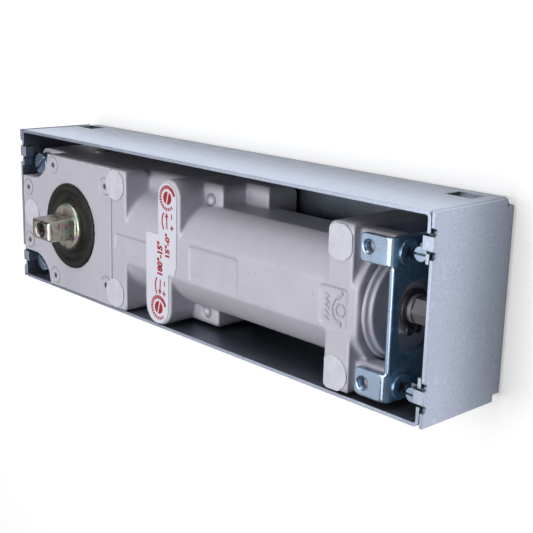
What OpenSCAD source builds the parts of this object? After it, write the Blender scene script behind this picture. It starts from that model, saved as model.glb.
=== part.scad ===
// Floor spring door closer in its cement box.
// The spindle axis is the Z axis, +X runs to the spring end and the underside of the box is Z = 0.
// A heart-shaped cam on the spindle pushes a roller cage, and the cage pushes a piston against the
// main spring. The rollers follow the cam at a constant rate of travel per turn.

/* [Cement box] */
// Outside length of the box
box_length = 285; // [280:1:360]
// Outside width of the box
box_width = 82; // [76:1:110]
// Outside depth of the box
box_depth = 50; // [44:1:62]
// Thickness of the box sheet
sheet = 1.5; // [1:0.1:1.8]
// Spindle axis to the outside of the near end wall
spindle_to_end = 50; // [49.5:0.5:70]
// Spindle axis to the outside of the near long wall
spindle_to_side = 36.8; // [36.8:0.1:40]
// Outside radius of the sheet bends
bend_r = 2.6; // [2:0.1:4]
// Length of each corner flange behind the end walls
flange_length = 19.5; // [17:0.5:20]
// Width of the crimp tabs that hold the flanges
tab_width = 5.4; // [4:0.1:7]
// Side wall to the middle of a crimp tab
tab_inset = 11.8; // [10:0.1:14]

/* [Housing] */
// Height of the casting with its cover
housing_height = 49.2; // [48:0.2:56]
// Half the width of the head
head_half = 35; // [34.5:0.1:35]
// Spindle axis to the back of the head
head_back = 46.6; // [46:0.1:48]
// Spindle axis to the joint of cover and casting
cover_front = 37; // [36:0.5:42]
// Spindle axis to the front of the head
head_front = 49.5; // [46:0.5:54]
// Radius of the barrel between its flats
barrel_r = 26.5; // [25.5:0.1:28]
// Spindle axis to the spring end of the barrel
barrel_end = 201.6; // [201:0.1:203]
// Bore that the piston and the spring run in
bore_r = 19; // [18.5:0.1:19.4]
// Spindle axis to the start of the cross block
cross_start = 184.6; // [180:0.2:188]
// Length of the cross block along the barrel
cross_length = 13.4; // [10:0.2:14]
// Half the width of the cross block
cross_half = 34.4; // [32:0.2:35]
// Height of the casting at the fixing ears
ear_height = 37.2; // [34:0.2:38]
// Height of the oil duct blocks beside the barrel
duct_height = 34.4; // [30:0.2:38]

/* [Cover] */
// Thickness of the cover plate
cover_thickness = 5; // [4:0.2:6]
// Thickness of the cover gasket
gasket_thickness = 0.8; // [0.5:0.1:1.2]
// Outside radius of the spindle seal
seal_r = 22; // [20:0.5:23]

/* [Spindle] */
// Radius of the spindle in the cam and the upper bearing
spindle_r = 10; // [9:0.1:10.4]
// Radius of the spindle collar in the seal
collar_r = 12.2; // [11.5:0.1:13]
// Height of the collar above the cover
collar_rise = 3; // [2:0.5:5]
// Height of the flattened spindle end above the collar
stub_height = 15; // [12:0.5:25]
// Long side of the spindle end
stub_x = 17.4; // [14:0.1:18]
// Short side of the spindle end
stub_y = 11.4; // [11:0.1:15]
// Core radius of the thread in the spindle end
stub_thread_r = 3.4; // [2.5:0.1:3.4]

/* [Cam and cage] */
// Spindle axis to the front roller axis with the door closed
roller_start = 19.5; // [19.5:0.1:20.5]
// Travel of the cage in half a turn
half_turn_travel = 14; // [10:0.5:14]
// Radius of the cam rollers
roller_r = 6.5; // [6:0.1:6.8]
// Radius of the roller pins
pin_r = 3.5; // [2.5:0.1:3.6]
// Thickness of the cam disc
cam_thickness = 12; // [8:0.5:12]
// Thickness of a cage plate
cage_plate = 3.2; // [2.5:0.1:3.4]

/* [Piston and spring] */
// Spindle axis to the rear face of the piston
piston_start = 56; // [55:0.5:60]
// Length of the piston
piston_length = 26; // [22:0.5:28]
// Thickness of the spring wire
spring_wire = 6.2; // [5:0.1:6.4]
// Mean radius of the main spring
spring_r = 14.4; // [14.2:0.1:15]
// Coils of the main spring
spring_coils = 9; // [7:1:9]
// Spindle axis to the front face of the spring seat
seat_face = 180; // [176:0.5:182]
// Travel of the spring seat
seat_travel = 12; // [8:0.5:12]

/* [Valves] */
// Closing speed valve, along and across the housing
closing_valve_at = [76.6, -26];
// Latching speed valve, along and across the housing
latching_valve_at = [83, 27.3];
// Radius of the valve screws
valve_r = 4; // [3:0.1:4.4]
// Radius of the valve bosses
valve_boss_r = 8.5; // [8:0.1:9]

/* [Bracket] */
// Spindle axis to the inner face of the bracket plate
bracket_x = 214.8; // [213:0.2:216]
// Thickness of the bracket
bracket_t = 2.5; // [1.5:0.1:2.6]
// Outside radius of the bends of its lugs
bracket_bend_r = 3.2; // [2.8:0.1:4]
// Length of its lugs
lug_length = 14.2; // [12:0.2:15]
// Half the width of the bracket
bracket_half = 32.4; // [31:0.1:33.5]
// Half the distance between the cover fixing holes
lug_hole_y = 27.3; // [26:0.1:28]
// Core radius of the cover fixing threads
lug_thread_r = 2.1; // [1.6:0.1:2.5]

/* [Hidden] */
$fn = 64;

// Clearances
floor_gap = 0.3;      // casting above the box floor
fit = 0.05;           // running fit of shafts and pistons
seat_fit = 0.02;      // fixed pieces in their seats
cam_gap = 0.06;       // cam to rollers
side_gap = 0.3;       // cam and rollers to the cage plates
eps = 0.01;

// Levels
base_z = sheet + floor_gap;
top_z = base_z + housing_height;
axis_z = base_z + housing_height / 2;
barrel_flat = housing_height / 2;
cover_z = top_z - cover_thickness;
gasket_z = cover_z - gasket_thickness;
ear_z = base_z + ear_height;
duct_z = base_z + duct_height;
collar_z = top_z + collar_rise;
stub_z = collar_z + stub_height;
chamber_z = base_z + 5;

// Box limits
box_x0 = -spindle_to_end;
box_x1 = box_x0 + box_length;
box_y0 = -spindle_to_side;
box_y1 = box_y0 + box_width;
layer_gap = 0.3;
flange_x0 = box_x0 + sheet + layer_gap;
flange_x1 = box_x1 - sheet - layer_gap;
tab_ys = [box_y0 + tab_inset, box_y1 - tab_inset];
tab_relief_r = 1.6;
tab_drop = 6;
corner_relief = 3.4;
lug_half = 3.2;
lug_z = box_depth - 9;
levelling_x = box_x1 - 8.8;
levelling_ys = [box_y0 + 10, box_y1 - 17.4];
anchor_length = 13;
anchor_height = 9;
anchor_z = 8;
anchor_xs = [box_x0 + 3.8 + bend_r, box_x1 - 6 - bend_r - anchor_length];

// Cam and cage
travel_per_deg = half_turn_travel / 180;
rear_roller_x = -(roller_start + half_turn_travel);
cage_gap = cam_thickness / 2 + side_gap;
cage_half = 16;
cage_slot_half = 12.4;
cage_room_front = 10;
cage_back = rear_roller_x - 7;
link_pin_x = piston_start - 7;
chamber_r = roller_start + half_turn_travel - roller_r + 1.4;
spacer_r = 12;
lower_journal_r = 8;
lower_bearing_r = 12;
lower_bearing_z = chamber_z - 2;
lower_bearing_h = 8.2;
upper_bearing_r = 16;
upper_bearing_h = 8;
journal_top = lower_bearing_z + lower_bearing_h + 0.2;

// Spring end
piston_end = piston_start + piston_length;
seat_length = 6;
collar_length = 3;
cap_start = 194.3;
cap_r = bore_r + 0.5;
cap_rim_r = cap_r + 0.9;
cap_length = 11.4;
cap_end = cap_start + cap_length;
adjuster_r = 5;
adjuster_hex = 10;
adjuster_end = 223;
circlip_x = cap_end + 3.2;

// Fasteners
cover_screw_at = [[-16, 29.8], [-41.5, 14.7], [31.5, 25.2]];
cover_screw_r = 1.9;
cover_hole_r = cover_screw_r + 0.3;
cover_sink = 2.4;          // depth of the countersinks in the cover
cover_sink_r = 4.6;
fixing_at = [-39, 27];
fixing_r = 4;
bracket_screw_z = top_z - 8.5;
bracket_screw_y = 26.5;
bracket_screw_r = 2.4;
plug_r = 3;
latching_plug_at = [95.5, 26.5];
closing_plug_at = [93.5, -27];
side_plug_at = [-13.5, head_half];
side_plug_z = axis_z - 3.8;

// Bracket
bracket_top = top_z - 0.6;
bracket_dip = 0.8;         // top edge of the plate between the lugs, below the bends
lug_x0 = bracket_x - lug_length;
lug_y0 = 21;
lug_hole_x = 205;

// The foot of the casting steps in to clear the bends of the box
foot_height = 1.6;
foot_inset = 1.2;

// ---------- Shared shapes ----------

// A profile in Y and Z, drawn about the barrel axis and run along X.
module along_x(x0, x1) translate([x0, 0, axis_z]) rotate([90, 0, 90]) linear_extrude(x1 - x0) children();

// A plan outline run up from one level to another.
module between_z(z0, z1) translate([0, 0, z0]) linear_extrude(z1 - z0) children();

// A rod along X on the barrel axis.
module rod_x(x0, x1, r) translate([x0, 0, axis_z]) rotate([0, 90, 0]) cylinder(h = x1 - x0, r = r);

// A rectangle with round corners.
module round_rect(x0, x1, y0, y1, r) {
    for (x = [x0 + r, x1 - r], y = [y0 + r, y1 - r]) translate([x, y]) circle(r);
    translate([x0 + r, y0]) square([x1 - x0 - 2 * r, y1 - y0]);
    translate([x0, y0 + r]) square([x1 - x0, y1 - y0 - 2 * r]);
}

module both_sides() for (side = [0, 1]) mirror([0, side, 0]) children();

// A flat ring.
module ring(h, outer, inner) difference() {
    cylinder(h = h, r = outer);
    translate([0, 0, -1]) cylinder(h = h + 2, r = inner);
}

// A ring of round section, for seals.
module seal_ring(mean_r, wire_r) rotate_extrude() translate([mean_r, 0]) circle(wire_r, $fn = 24);

// ---------- Cement box ----------

// Floor and long walls, seen from the end.
module trough_section() {
    inner_r = bend_r - sheet;
    difference() {
        union() {
            for (y = [box_y0 + bend_r, box_y1 - bend_r]) translate([y, bend_r]) circle(bend_r);
            translate([box_y0 + bend_r, 0]) square([box_width - 2 * bend_r, bend_r]);
            translate([box_y0, bend_r]) square([box_width, box_depth - bend_r]);
        }
        for (y = [box_y0 + bend_r, box_y1 - bend_r]) translate([y, bend_r]) circle(inner_r);
        translate([box_y0 + bend_r, sheet]) square([box_width - 2 * bend_r, bend_r]);
        translate([box_y0 + sheet, bend_r]) square([box_width - 2 * sheet, box_depth]);
    }
}

// One corner seen from above: the long wall turns in behind the end wall as a flange.
module corner_flange() difference() {
    union() {
        translate([bend_r, bend_r]) circle(bend_r);
        translate([0, bend_r]) square([bend_r, flange_length - bend_r]);
    }
    translate([bend_r, bend_r]) circle(bend_r - sheet);
    translate([sheet, bend_r]) square([2 * bend_r, flange_length]);
    translate([bend_r, -1]) square([bend_r + 1, 2 * bend_r + 2]);
}

// The four corner flanges, each with a notch in its rim for the crimp tab.
module corner_flanges() difference() {
    between_z(bend_r, box_depth) for (end = [0, 1], side = [0, 1])
        translate([end ? flange_x1 : flange_x0, side ? box_y1 : box_y0])
            mirror([end, 0]) mirror([0, side]) corner_flange();
    for (x = [flange_x0, flange_x1 - sheet], y = tab_ys)
        translate([x - 1, y - tab_width / 2 - 1, box_depth - sheet - 0.1])
            cube([sheet + 2, tab_width + 2, sheet + 1]);
}

// The bend between floor and end wall, seen from the side.
module end_bend() difference() {
    union() {
        translate([bend_r, bend_r]) circle(bend_r);
        translate([0, bend_r]) square([bend_r, corner_relief]);
        translate([bend_r, 0]) square([flange_x0 - box_x0, bend_r]);
    }
    translate([bend_r, bend_r]) circle(bend_r - sheet);
    translate([sheet, bend_r]) square([2 * bend_r, corner_relief + 1]);
    translate([bend_r, sheet]) square([2 * bend_r, 2 * bend_r]);
}

// An end wall with its crimp tabs, drawn with its outer face at X = 0.
module end_wall() {
    inset = bend_r + 0.4;
    translate([0, box_y1 - inset, 0]) rotate([90, 0, 0])
        linear_extrude(box_width - 2 * inset) end_bend();
    difference() {
        translate([0, box_y0, bend_r + corner_relief])
            cube([sheet, box_width, box_depth - bend_r - corner_relief]);
        for (y = tab_ys, side = [-1, 1])
            translate([-1, y + side * (tab_width / 2 + tab_relief_r), box_depth]) rotate([0, 90, 0])
                cylinder(h = sheet + 2, r = tab_relief_r);
    }
    for (y = tab_ys) crimp_tab(y);
}

// A tab folded over the flange rim and down behind it.
module crimp_tab(y) translate([0, y - tab_width / 2, 0]) {
    reach = 2 * (sheet + layer_gap);
    translate([0, 0, box_depth - sheet]) cube([reach + sheet, tab_width, sheet]);
    translate([reach, 0, box_depth - tab_drop]) cube([sheet, tab_width, tab_drop]);
}

// A small threaded lug bent in from a corner flange.
module levelling_lug(y) translate([levelling_x - lug_half, y - lug_half, lug_z]) difference() {
    cube([flange_x1 - levelling_x + lug_half - sheet / 2, 2 * lug_half, sheet]);
    translate([lug_half, lug_half, -1]) cylinder(h = sheet + 2, r = 2 + seat_fit);
}

// Slots in the long wall, with a tongue turned in to grip the screed.
module anchor_slots() for (x = anchor_xs) translate([x, box_y1 - sheet - 1, anchor_z])
    cube([anchor_length, sheet + 2, anchor_height]);

module anchor_tongues() for (x = anchor_xs)
    translate([x + 1, box_y1 - sheet - 1, anchor_z - sheet]) cube([anchor_length - 2, 1.2, sheet]);

module cement_box() color("LightSteelBlue") {
    difference() {
        rotate([90, 0, 90]) translate([0, 0, flange_x0 + bend_r])
            linear_extrude(flange_x1 - flange_x0 - 2 * bend_r) trough_section();
        anchor_slots();
    }
    anchor_tongues();
    corner_flanges();
    translate([box_x0, 0, 0]) end_wall();
    translate([box_x1, 0, 0]) mirror([1, 0, 0]) end_wall();
    for (y = levelling_ys) levelling_lug(y);
}

module levelling_screws() color("Silver") for (y = levelling_ys) translate([levelling_x, y, 0]) {
    head_z = lug_z + sheet + 1;
    head_h = 2.6;
    slot = 0.8;
    shank = 10;
    difference() {
        translate([0, 0, head_z]) cylinder(h = head_h, r = 2.9);
        translate([-4, -slot / 2, head_z + 1.4]) cube([8, slot, 3]);
    }
    translate([0, 0, lug_z - shank]) cylinder(h = shank + sheet + 1.2, r = 2);
}

// ---------- Housing ----------

module notch() {
    edge_y = 20.7;
    curve = 14.8;
    curve_x = -36;
    curve_y = edge_y + curve;
    translate([curve_x, curve_y]) circle(curve);
    translate([-head_back - 1, edge_y]) square([curve_x + head_back + 1, head_half]);
}

// Outline of the cover, with the two corners notched out for the fixing screws.
module head_outline(x1) difference() {
    round_rect(-head_back, x1, -head_half, head_half, 2.5);
    both_sides() notch();
}

module barrel_section(grow = 0) intersection() {
    circle(barrel_r + grow, $fn = 96);
    square(2 * (barrel_flat + grow), center = true);
}

// Chamfered end of the barrel, by crossing its side view with its top view.
module barrel_body() intersection() {
    along_x(head_front - 8, barrel_end) barrel_section();
    rotate([90, 0, 0]) translate([0, 0, -50]) linear_extrude(100) barrel_side_view();
    between_z(0, top_z + 1) translate([0, -axis_z]) barrel_side_view();
}

module barrel_side_view() {
    cut_x = 6;
    cut_z = 4;
    x0 = head_front - 9;
    x1 = barrel_end;
    translate([0, axis_z]) polygon([
        [x0, -barrel_flat], [x1 - cut_x, -barrel_flat], [x1, -barrel_flat + cut_z],
        [x1, barrel_flat - cut_z], [x1 - cut_x, barrel_flat], [x0, barrel_flat]
    ]);
}

module valve_boss(at) {
    side = sign(at[1]);
    foot_z = axis_z - 10;
    between_z(foot_z, top_z) {
        translate(at) circle(valve_boss_r);
        translate([at[0] - valve_boss_r, min(0, at[1])]) square([2 * valve_boss_r, abs(at[1])]);
    }
}

// Oil duct block along the barrel, with its top edge rounded.
module duct_block(side, x1, z0, z1, x0 = head_front - 4) {
    r = 4;
    outer = head_half - 1;
    intersection() {
        along_x(x0, x1) translate([side > 0 ? 0 : -outer, 0])
            round_rect(0, outer, z0 - axis_z, z1 - axis_z, r);
        between_z(0, top_z) round_rect(x0, x1, -outer, outer, r);
    }
}

module cross_block() intersection() {
    between_z(base_z, top_z)
        round_rect(cross_start, cross_start + cross_length, -cross_half, cross_half, 2.5);
    along_x(cross_start - 1, cross_start + cross_length + 1)
        round_rect(-cross_half, cross_half, -barrel_flat, barrel_flat, 2.5);
}

// Block that the bracket is screwed to.
module bracket_block() {
    half_y = 6.4;
    half_z = bracket_top - bracket_bend_r - bracket_screw_z;
    x0 = cross_start + cross_length - 2;
    translate([0, bracket_screw_y, bracket_screw_z - axis_z]) along_x(x0, bracket_x)
        round_rect(-half_y, half_y, -half_z, half_z, 2);
}

module housing_outside() {
    between_z(base_z, base_z + foot_height)
        round_rect(-head_back + foot_inset, head_front, -head_half + foot_inset, head_half - foot_inset, 5);
    between_z(base_z + foot_height, ear_z) round_rect(-head_back, head_front, -head_half, head_half, 5);
    between_z(ear_z - 1, gasket_z) head_outline(head_front);
    between_z(gasket_z - 1, top_z) intersection() {
        head_outline(head_front);
        translate([cover_front, -head_half]) square([head_front, 2 * head_half]);
    }
    barrel_body();
    valve_boss(closing_valve_at);
    valve_boss(latching_valve_at);
    duct_block(1, 104, base_z + 12, duct_z);
    duct_block(-1, 102, base_z + 12, duct_z);
    duct_block(1, 119, base_z + 2, base_z + 20);
    cross_block();
    both_sides() bracket_block();
}

// Plan of the room round the cage, with a gap at its back and sides.
module cage_room(gap) round_rect(cage_back - gap, cage_room_front, -cage_half - gap, cage_half + gap, 6);

module cam_chamber() {
    translate([0, 0, chamber_z]) cylinder(h = gasket_z - chamber_z + 1, r = chamber_r);
    between_z(axis_z - 11, gasket_z + 1) cage_room(1);
}

module housing_inside() {
    difference() {
        cam_chamber();
        translate([0, 0, chamber_z - 1]) cylinder(h = lower_bearing_h - 1, r = lower_bearing_r + 3);
    }
    translate([0, 0, lower_bearing_z]) cylinder(h = 30, r = lower_bearing_r + seat_fit);
    rod_x(20, cap_start, bore_r);
    rod_x(cap_start - 2, barrel_end + 1, cap_r + seat_fit);
}

module valve_bore(at, plug_at) {
    side = sign(at[1]);
    duct_r = 1.6;
    translate([at[0], at[1], axis_z - 6]) cylinder(h = barrel_flat + 7, r = valve_r + fit);
    translate([at[0], side * (bore_r - 2), axis_z - 4]) rotate([-side * 90, 0, 0])
        cylinder(h = abs(at[1]) - bore_r + 2, r = duct_r);
    translate([at[0], plug_at[1], axis_z]) rotate([0, 90, 0])
        cylinder(h = plug_at[0] - at[0], r = duct_r);
    translate([plug_at[0], plug_at[1], axis_z - duct_r]) cylinder(h = barrel_flat, r = duct_r);
    translate([plug_at[0], plug_at[1], duct_z - plug_r * 1.6])
        cylinder(h = plug_r * 2, r = plug_r + seat_fit);
    translate([plug_at[0], side * (bore_r - 2), axis_z]) rotate([-side * 90, 0, 0])
        cylinder(h = abs(plug_at[1]) - bore_r + 2, r = duct_r);
}

// Sunk panels of the casting: limits in X, limits in Y and corner radius.
panel_depth = 0.5;
panels = [[98, 131.5, -8, 8, 2], [181, 196, -8.3, 8.3, 2], [40, 66, -3.5, 3.5, 0.8]];

module sunk_panels() between_z(top_z - panel_depth, top_z + 1)
    for (p = panels) round_rect(p[0], p[1], p[2], p[3], p[4]);

module housing() color("Gainsboro") difference() {
    housing_outside();
    housing_inside();
    valve_bore(closing_valve_at, closing_plug_at);
    valve_bore(latching_valve_at, latching_plug_at);
    sunk_panels();
    both_sides() {
        translate([fixing_at[0], fixing_at[1], -1]) cylinder(h = top_z, r = fixing_r + fit);
        for (at = cover_screw_at) translate([at[0], at[1], gasket_z - 12])
            cylinder(h = 14, r = cover_screw_r + seat_fit);
        translate([bracket_x - 12, bracket_screw_y, bracket_screw_z]) rotate([0, 90, 0])
            cylinder(h = 14, r = bracket_screw_r + seat_fit);
    }
    translate([side_plug_at[0], side_plug_at[1], side_plug_z]) rotate([90, 0, 0])
        cylinder(h = 7, r = 4 + seat_fit);
    translate([side_plug_at[0], side_plug_at[1], side_plug_z]) rotate([90, 0, 0])
        cylinder(h = head_half / 2, r = 2);
}

// ---------- Cover ----------

module cover_outline() difference() {
    head_outline(cover_front + 10);
    translate([cover_front - 0.15, -head_half - 1]) square([20, 2 * head_half + 2]);
}

module cover_plate() color("WhiteSmoke") difference() {
    collar_wall = 2.6;
    shell_h = upper_bearing_h + 1;
    union() {
        between_z(cover_z, top_z) cover_outline();
        translate([0, 0, cover_z - upper_bearing_h]) cylinder(h = shell_h, r = upper_bearing_r + collar_wall);
    }
    translate([0, 0, cover_z - shell_h]) cylinder(h = shell_h, r = upper_bearing_r + seat_fit);
    translate([0, 0, cover_z - 2]) cylinder(h = 4, r = collar_r + 1);
    translate([0, 0, cover_z + 1]) cylinder(h = cover_thickness, r = seal_r + seat_fit);
    both_sides() for (at = cover_screw_at) translate([at[0], at[1], 0]) {
        translate([0, 0, cover_z - 1]) cylinder(h = cover_thickness + 2, r = cover_hole_r);
        translate([0, 0, top_z - cover_sink])
            cylinder(h = cover_sink + eps, r1 = cover_hole_r, r2 = cover_sink_r);
    }
}

module cover_gasket() color("DimGray") difference() {
    between_z(gasket_z, cover_z) cover_outline();
    translate([0, 0, gasket_z - 1]) cylinder(h = 4, r = chamber_r + 0.5);
    between_z(gasket_z - 1, cover_z + 1) cage_room(1.5);
    both_sides() for (at = cover_screw_at) translate([at[0], at[1], gasket_z - 1])
        cylinder(h = 4, r = cover_screw_r + 0.2);
}

module cover_screws() color("Silver") both_sides() for (at = cover_screw_at)
    translate([at[0], at[1], 0]) difference() {
        recess = 3;
        recess_w = 1;
        union() {
            translate([0, 0, gasket_z - 10]) cylinder(h = top_z - gasket_z + 8.5, r = cover_screw_r);
            translate([0, 0, top_z - 2.3]) cylinder(h = 2.1, r1 = cover_screw_r, r2 = cover_sink_r - 0.4);
        }
        translate([0, 0, top_z - 1.8]) for (turn = [0, 60, 120]) rotate(turn)
            translate([-recess / 2, -recess_w / 2, 0]) cube([recess, recess_w, 3]);
    }

module spindle_seal() color("DarkSlateGray") rotate_extrude() polygon([
    [collar_r + fit, cover_z + 1.2], [seal_r, cover_z + 1.2], [seal_r, top_z + 0.5],
    [seal_r - 0.8, top_z + 0.9], [seal_r - 3.2, top_z + 0.9], [seal_r - 4.4, top_z],
    [collar_r + 2.2, top_z - 0.8], [collar_r + 1, top_z + 0.4], [collar_r + fit, top_z + 0.4]
]);

// A needle bearing: an outer shell with rollers round the shaft.
module needle_bearing(z, h, outer, shaft) translate([0, 0, z]) {
    needle_r = 1.25;
    track = shaft + fit + needle_r;
    count = floor(180 / asin((needle_r + 0.25) / track));
    ring(h, outer, track + needle_r + fit);
    for (i = [0 : count - 1]) rotate(i * 360 / count)
        translate([track, 0, 0.8]) cylinder(h = h - 1.6, r = needle_r, $fn = 24);
}

module upper_bearing() color("SlateGray")
    needle_bearing(cover_z - upper_bearing_h, upper_bearing_h - 0.1, upper_bearing_r, spindle_r);

module lower_bearing() color("SlateGray")
    needle_bearing(lower_bearing_z + 0.1, lower_bearing_h - 0.1, lower_bearing_r, lower_journal_r);

// ---------- Spindle and cam ----------

key_w = 5;
key_depth = 2.5;

// Flattened end of the spindle, a little slimmer at the top.
module spindle_end() {
    slim = 0.5;
    rise = stub_height - 1.2;
    z0 = collar_z - 1;
    intersection() {
        rotate([90, 0, 0]) translate([0, 0, -20]) linear_extrude(40) polygon([
            [-stub_x / 2, z0], [stub_x / 2, z0], [stub_x / 2 - slim / 2, collar_z + rise],
            [stub_x / 2 - 1.5, stub_z], [-stub_x / 2 + 1.5, stub_z],
            [-stub_x / 2 + slim / 2, collar_z + rise]
        ]);
        rotate([90, 0, 90]) translate([0, 0, -20]) linear_extrude(40) polygon([
            [-stub_y / 2, z0], [stub_y / 2, z0], [stub_y / 2 - slim, collar_z + rise],
            [stub_y / 2 - slim - 0.9, stub_z], [-stub_y / 2 + slim + 0.9, stub_z],
            [-stub_y / 2 + slim, collar_z + rise]
        ]);
        cylinder(h = stub_z + 1, r = norm([stub_x, stub_y]) / 2 - 0.9);
    }
}

module spindle() color("DarkKhaki") difference() {
    union() {
        translate([0, 0, lower_bearing_z + 0.3])
            cylinder(h = journal_top - lower_bearing_z, r = lower_journal_r);
        translate([0, 0, journal_top]) cylinder(h = cover_z - journal_top + 1, r = spindle_r);
        rotate_extrude() polygon([
            [0, cover_z + 0.1], [collar_r, cover_z + 0.1], [collar_r, collar_z - 0.8],
            [collar_r - 0.8, collar_z], [0, collar_z]
        ]);
        spindle_end();
    }
    translate([0, 0, stub_z - 14]) cylinder(h = 16, r = stub_thread_r);
    translate([0, 0, stub_z - 0.9]) cylinder(h = 1, r1 = stub_thread_r, r2 = stub_thread_r + 1);
    translate([-spindle_r - 1, -key_w / 2, axis_z - cam_thickness / 2])
        cube([key_depth + 1, key_w, cam_thickness]);
}

// Centre of a roller as the cam sees it after turning by a, and the direction away from the cam.
function roller_centre(a) = (roller_start + travel_per_deg * a) * [cos(a), sin(a)];
function spiral_rate() = travel_per_deg * 180 / PI;
function away(a) = let (
        reach = roller_start + travel_per_deg * a,
        t = [spiral_rate() * cos(a) - reach * sin(a), spiral_rate() * sin(a) + reach * cos(a)]
    ) [t[1], -t[0]] / norm(t);
function flank_point(a) = roller_centre(a) - (roller_r + cam_gap) * away(a);

// Half of the heart: the nest that holds the front roller, then the flank up to the point.
module cam_half() {
    nest_angle = atan(spiral_rate() / roller_start);
    nest_steps = 4;
    flank_step = 5;
    nest = [for (i = [0 : nest_steps - 1]) let (a = i * nest_angle / nest_steps)
        [roller_start, 0] + (roller_r + cam_gap) * [-cos(a), sin(a)]];
    flank = [for (a = [0 : flank_step : 180]) flank_point(a)];
    intersection() {
        polygon(concat([[-1, 0]], nest, flank));
        translate([-60, 0]) square([120, 60]);
    }
}

module cam_disc() color("SteelBlue") difference() {
    between_z(axis_z - cam_thickness / 2, axis_z + cam_thickness / 2) both_sides() cam_half();
    cylinder(h = top_z, r = spindle_r + seat_fit);
    translate([-spindle_r - key_depth, -key_w / 2, 0]) cube([spindle_r, key_w, top_z]);
}

module cam_key() color("Silver")
    translate([-spindle_r - key_depth + seat_fit, -key_w / 2 + seat_fit, axis_z - cam_thickness / 2 + 0.2])
        cube([2 * key_depth - 2 * seat_fit, key_w - 2 * seat_fit, cam_thickness - 0.4]);

module cam_spacer() color("Silver") translate([0, 0, journal_top])
    ring(axis_z - cam_thickness / 2 - journal_top, spacer_r, spindle_r + seat_fit);

// ---------- Roller cage and piston ----------

module cage_plate_outline() difference() {
    round_rect(cage_back, piston_start - 1, -cage_half, cage_half, 6.5);
    round_rect(-cage_slot_half - half_turn_travel - 0.3, cage_slot_half + 0.3,
        -cage_slot_half, cage_slot_half, cage_slot_half - 3);
    for (x = [rear_roller_x, roller_start, link_pin_x]) translate([x, 0]) circle(pin_r);
}

module upper_cage_plate() color("LightSlateGray")
    between_z(axis_z + cage_gap, axis_z + cage_gap + cage_plate) cage_plate_outline();

module lower_cage_plate() color("LightSlateGray")
    between_z(axis_z - cage_gap - cage_plate, axis_z - cage_gap) cage_plate_outline();

module cage_pins() color("Silver") for (x = [rear_roller_x, roller_start, link_pin_x])
    translate([x, 0, axis_z - cage_gap - cage_plate])
        cylinder(h = 2 * (cage_gap + cage_plate), r = pin_r);

module roller(x) translate([x, 0, axis_z - cam_thickness / 2])
    ring(cam_thickness, roller_r, pin_r + fit);

module front_roller() color("SlateGray") roller(roller_start);

module rear_roller() color("SlateGray") roller(rear_roller_x);

ring_groove = 2.4;
ring_x = piston_start + 16;
check_bore_r = 4;

module piston() color("Silver") difference() {
    tongue_length = 14;
    tongue_width = 24;
    port = 8;
    union() {
        rod_x(piston_start, piston_end, bore_r - fit);
        rod_x(piston_end - 1, piston_end + 5, spring_r - spring_wire / 2 - 0.6);
        intersection() {
            translate([piston_start - tongue_length, -tongue_width / 2, axis_z - cage_gap])
                cube([tongue_length + 1, tongue_width, 2 * cage_gap]);
            rod_x(piston_start - 15, piston_start + 2, bore_r - 1);
        }
    }
    translate([link_pin_x, 0, 0]) cylinder(h = top_z, r = pin_r);
    rod_x(piston_start + 4, piston_end + 6, check_bore_r);
    translate([ring_x, 0, axis_z]) rotate([0, 90, 0]) difference() {
        cylinder(h = ring_groove, r = bore_r + 1);
        translate([0, 0, -1]) cylinder(h = ring_groove + 2, r = bore_r - 2.6);
    }
    translate([piston_start - 1, port, axis_z - port]) rotate([0, 90, 0]) cylinder(h = 6, r = 1.6);
    translate([piston_start + 4.5, port, axis_z - port]) rotate([45, 0, 0]) cylinder(h = 12, r = 1.2);
}

module piston_ring() color("DarkSlateGray") translate([ring_x + 0.1, 0, axis_z]) rotate([0, 90, 0])
    ring(ring_groove - 0.2, bore_r - fit, bore_r - 2.4);

// Ball and threaded seat inside the piston, which let the oil back as the door opens.
module check_valve() color("Gold") {
    translate([piston_start + 9, 0, axis_z]) sphere(r = check_bore_r - 0.4);
    translate([piston_start + 13, 0, axis_z]) rotate([0, 90, 0])
        ring(6, check_bore_r - seat_fit, 1.8);
}

spring_x0 = piston_end + spring_wire / 2 + 0.1;
spring_rise = seat_face - spring_wire / 2 - 0.1 - spring_x0;
closed_lead = spring_wire + 0.15;
open_lead = (spring_rise - 2 * closed_lead) / (spring_coils - 2);

// Distance of the wire from its first coil after t turns: the first and last coil lie closed.
function spring_advance(t) = min(t, 1) * closed_lead
    + max(0, min(t, spring_coils - 1) - 1) * open_lead
    + max(0, t - spring_coils + 1) * closed_lead;

// Round wire swept along a helix about the barrel axis.
module main_spring() color("DimGray") {
    sides = 10;
    steps = 24;
    rings = spring_coils * steps;
    points = [for (i = [0 : rings]) let (t = i / steps, a = t * 360)
        for (s = [0 : sides - 1])
            let (b = s * 360 / sides, r = spring_r + spring_wire / 2 * cos(b))
            [spring_x0 + spring_advance(t) + spring_wire / 2 * sin(b), r * cos(a), axis_z + r * sin(a)]];
    walls = [for (i = [0 : rings - 1], s = [0 : sides - 1]) let (n = (s + 1) % sides)
        [i * sides + s, i * sides + n, (i + 1) * sides + n, (i + 1) * sides + s]];
    ends = [[for (s = [sides - 1 : -1 : 0]) s], [for (s = [0 : sides - 1]) rings * sides + s]];
    polyhedron(points = points, faces = concat(walls, ends));
}

// ---------- Spring seat, adjuster and end cap ----------

module spring_seat() color("Silver") difference() {
    union() {
        rod_x(seat_face, seat_face + seat_length, bore_r - fit);
        rod_x(seat_face - 6, seat_face + 1, spring_r - spring_wire / 2 - 0.6);
    }
    rod_x(seat_face - 8, seat_face + seat_length + 1, adjuster_r + fit);
}

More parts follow.
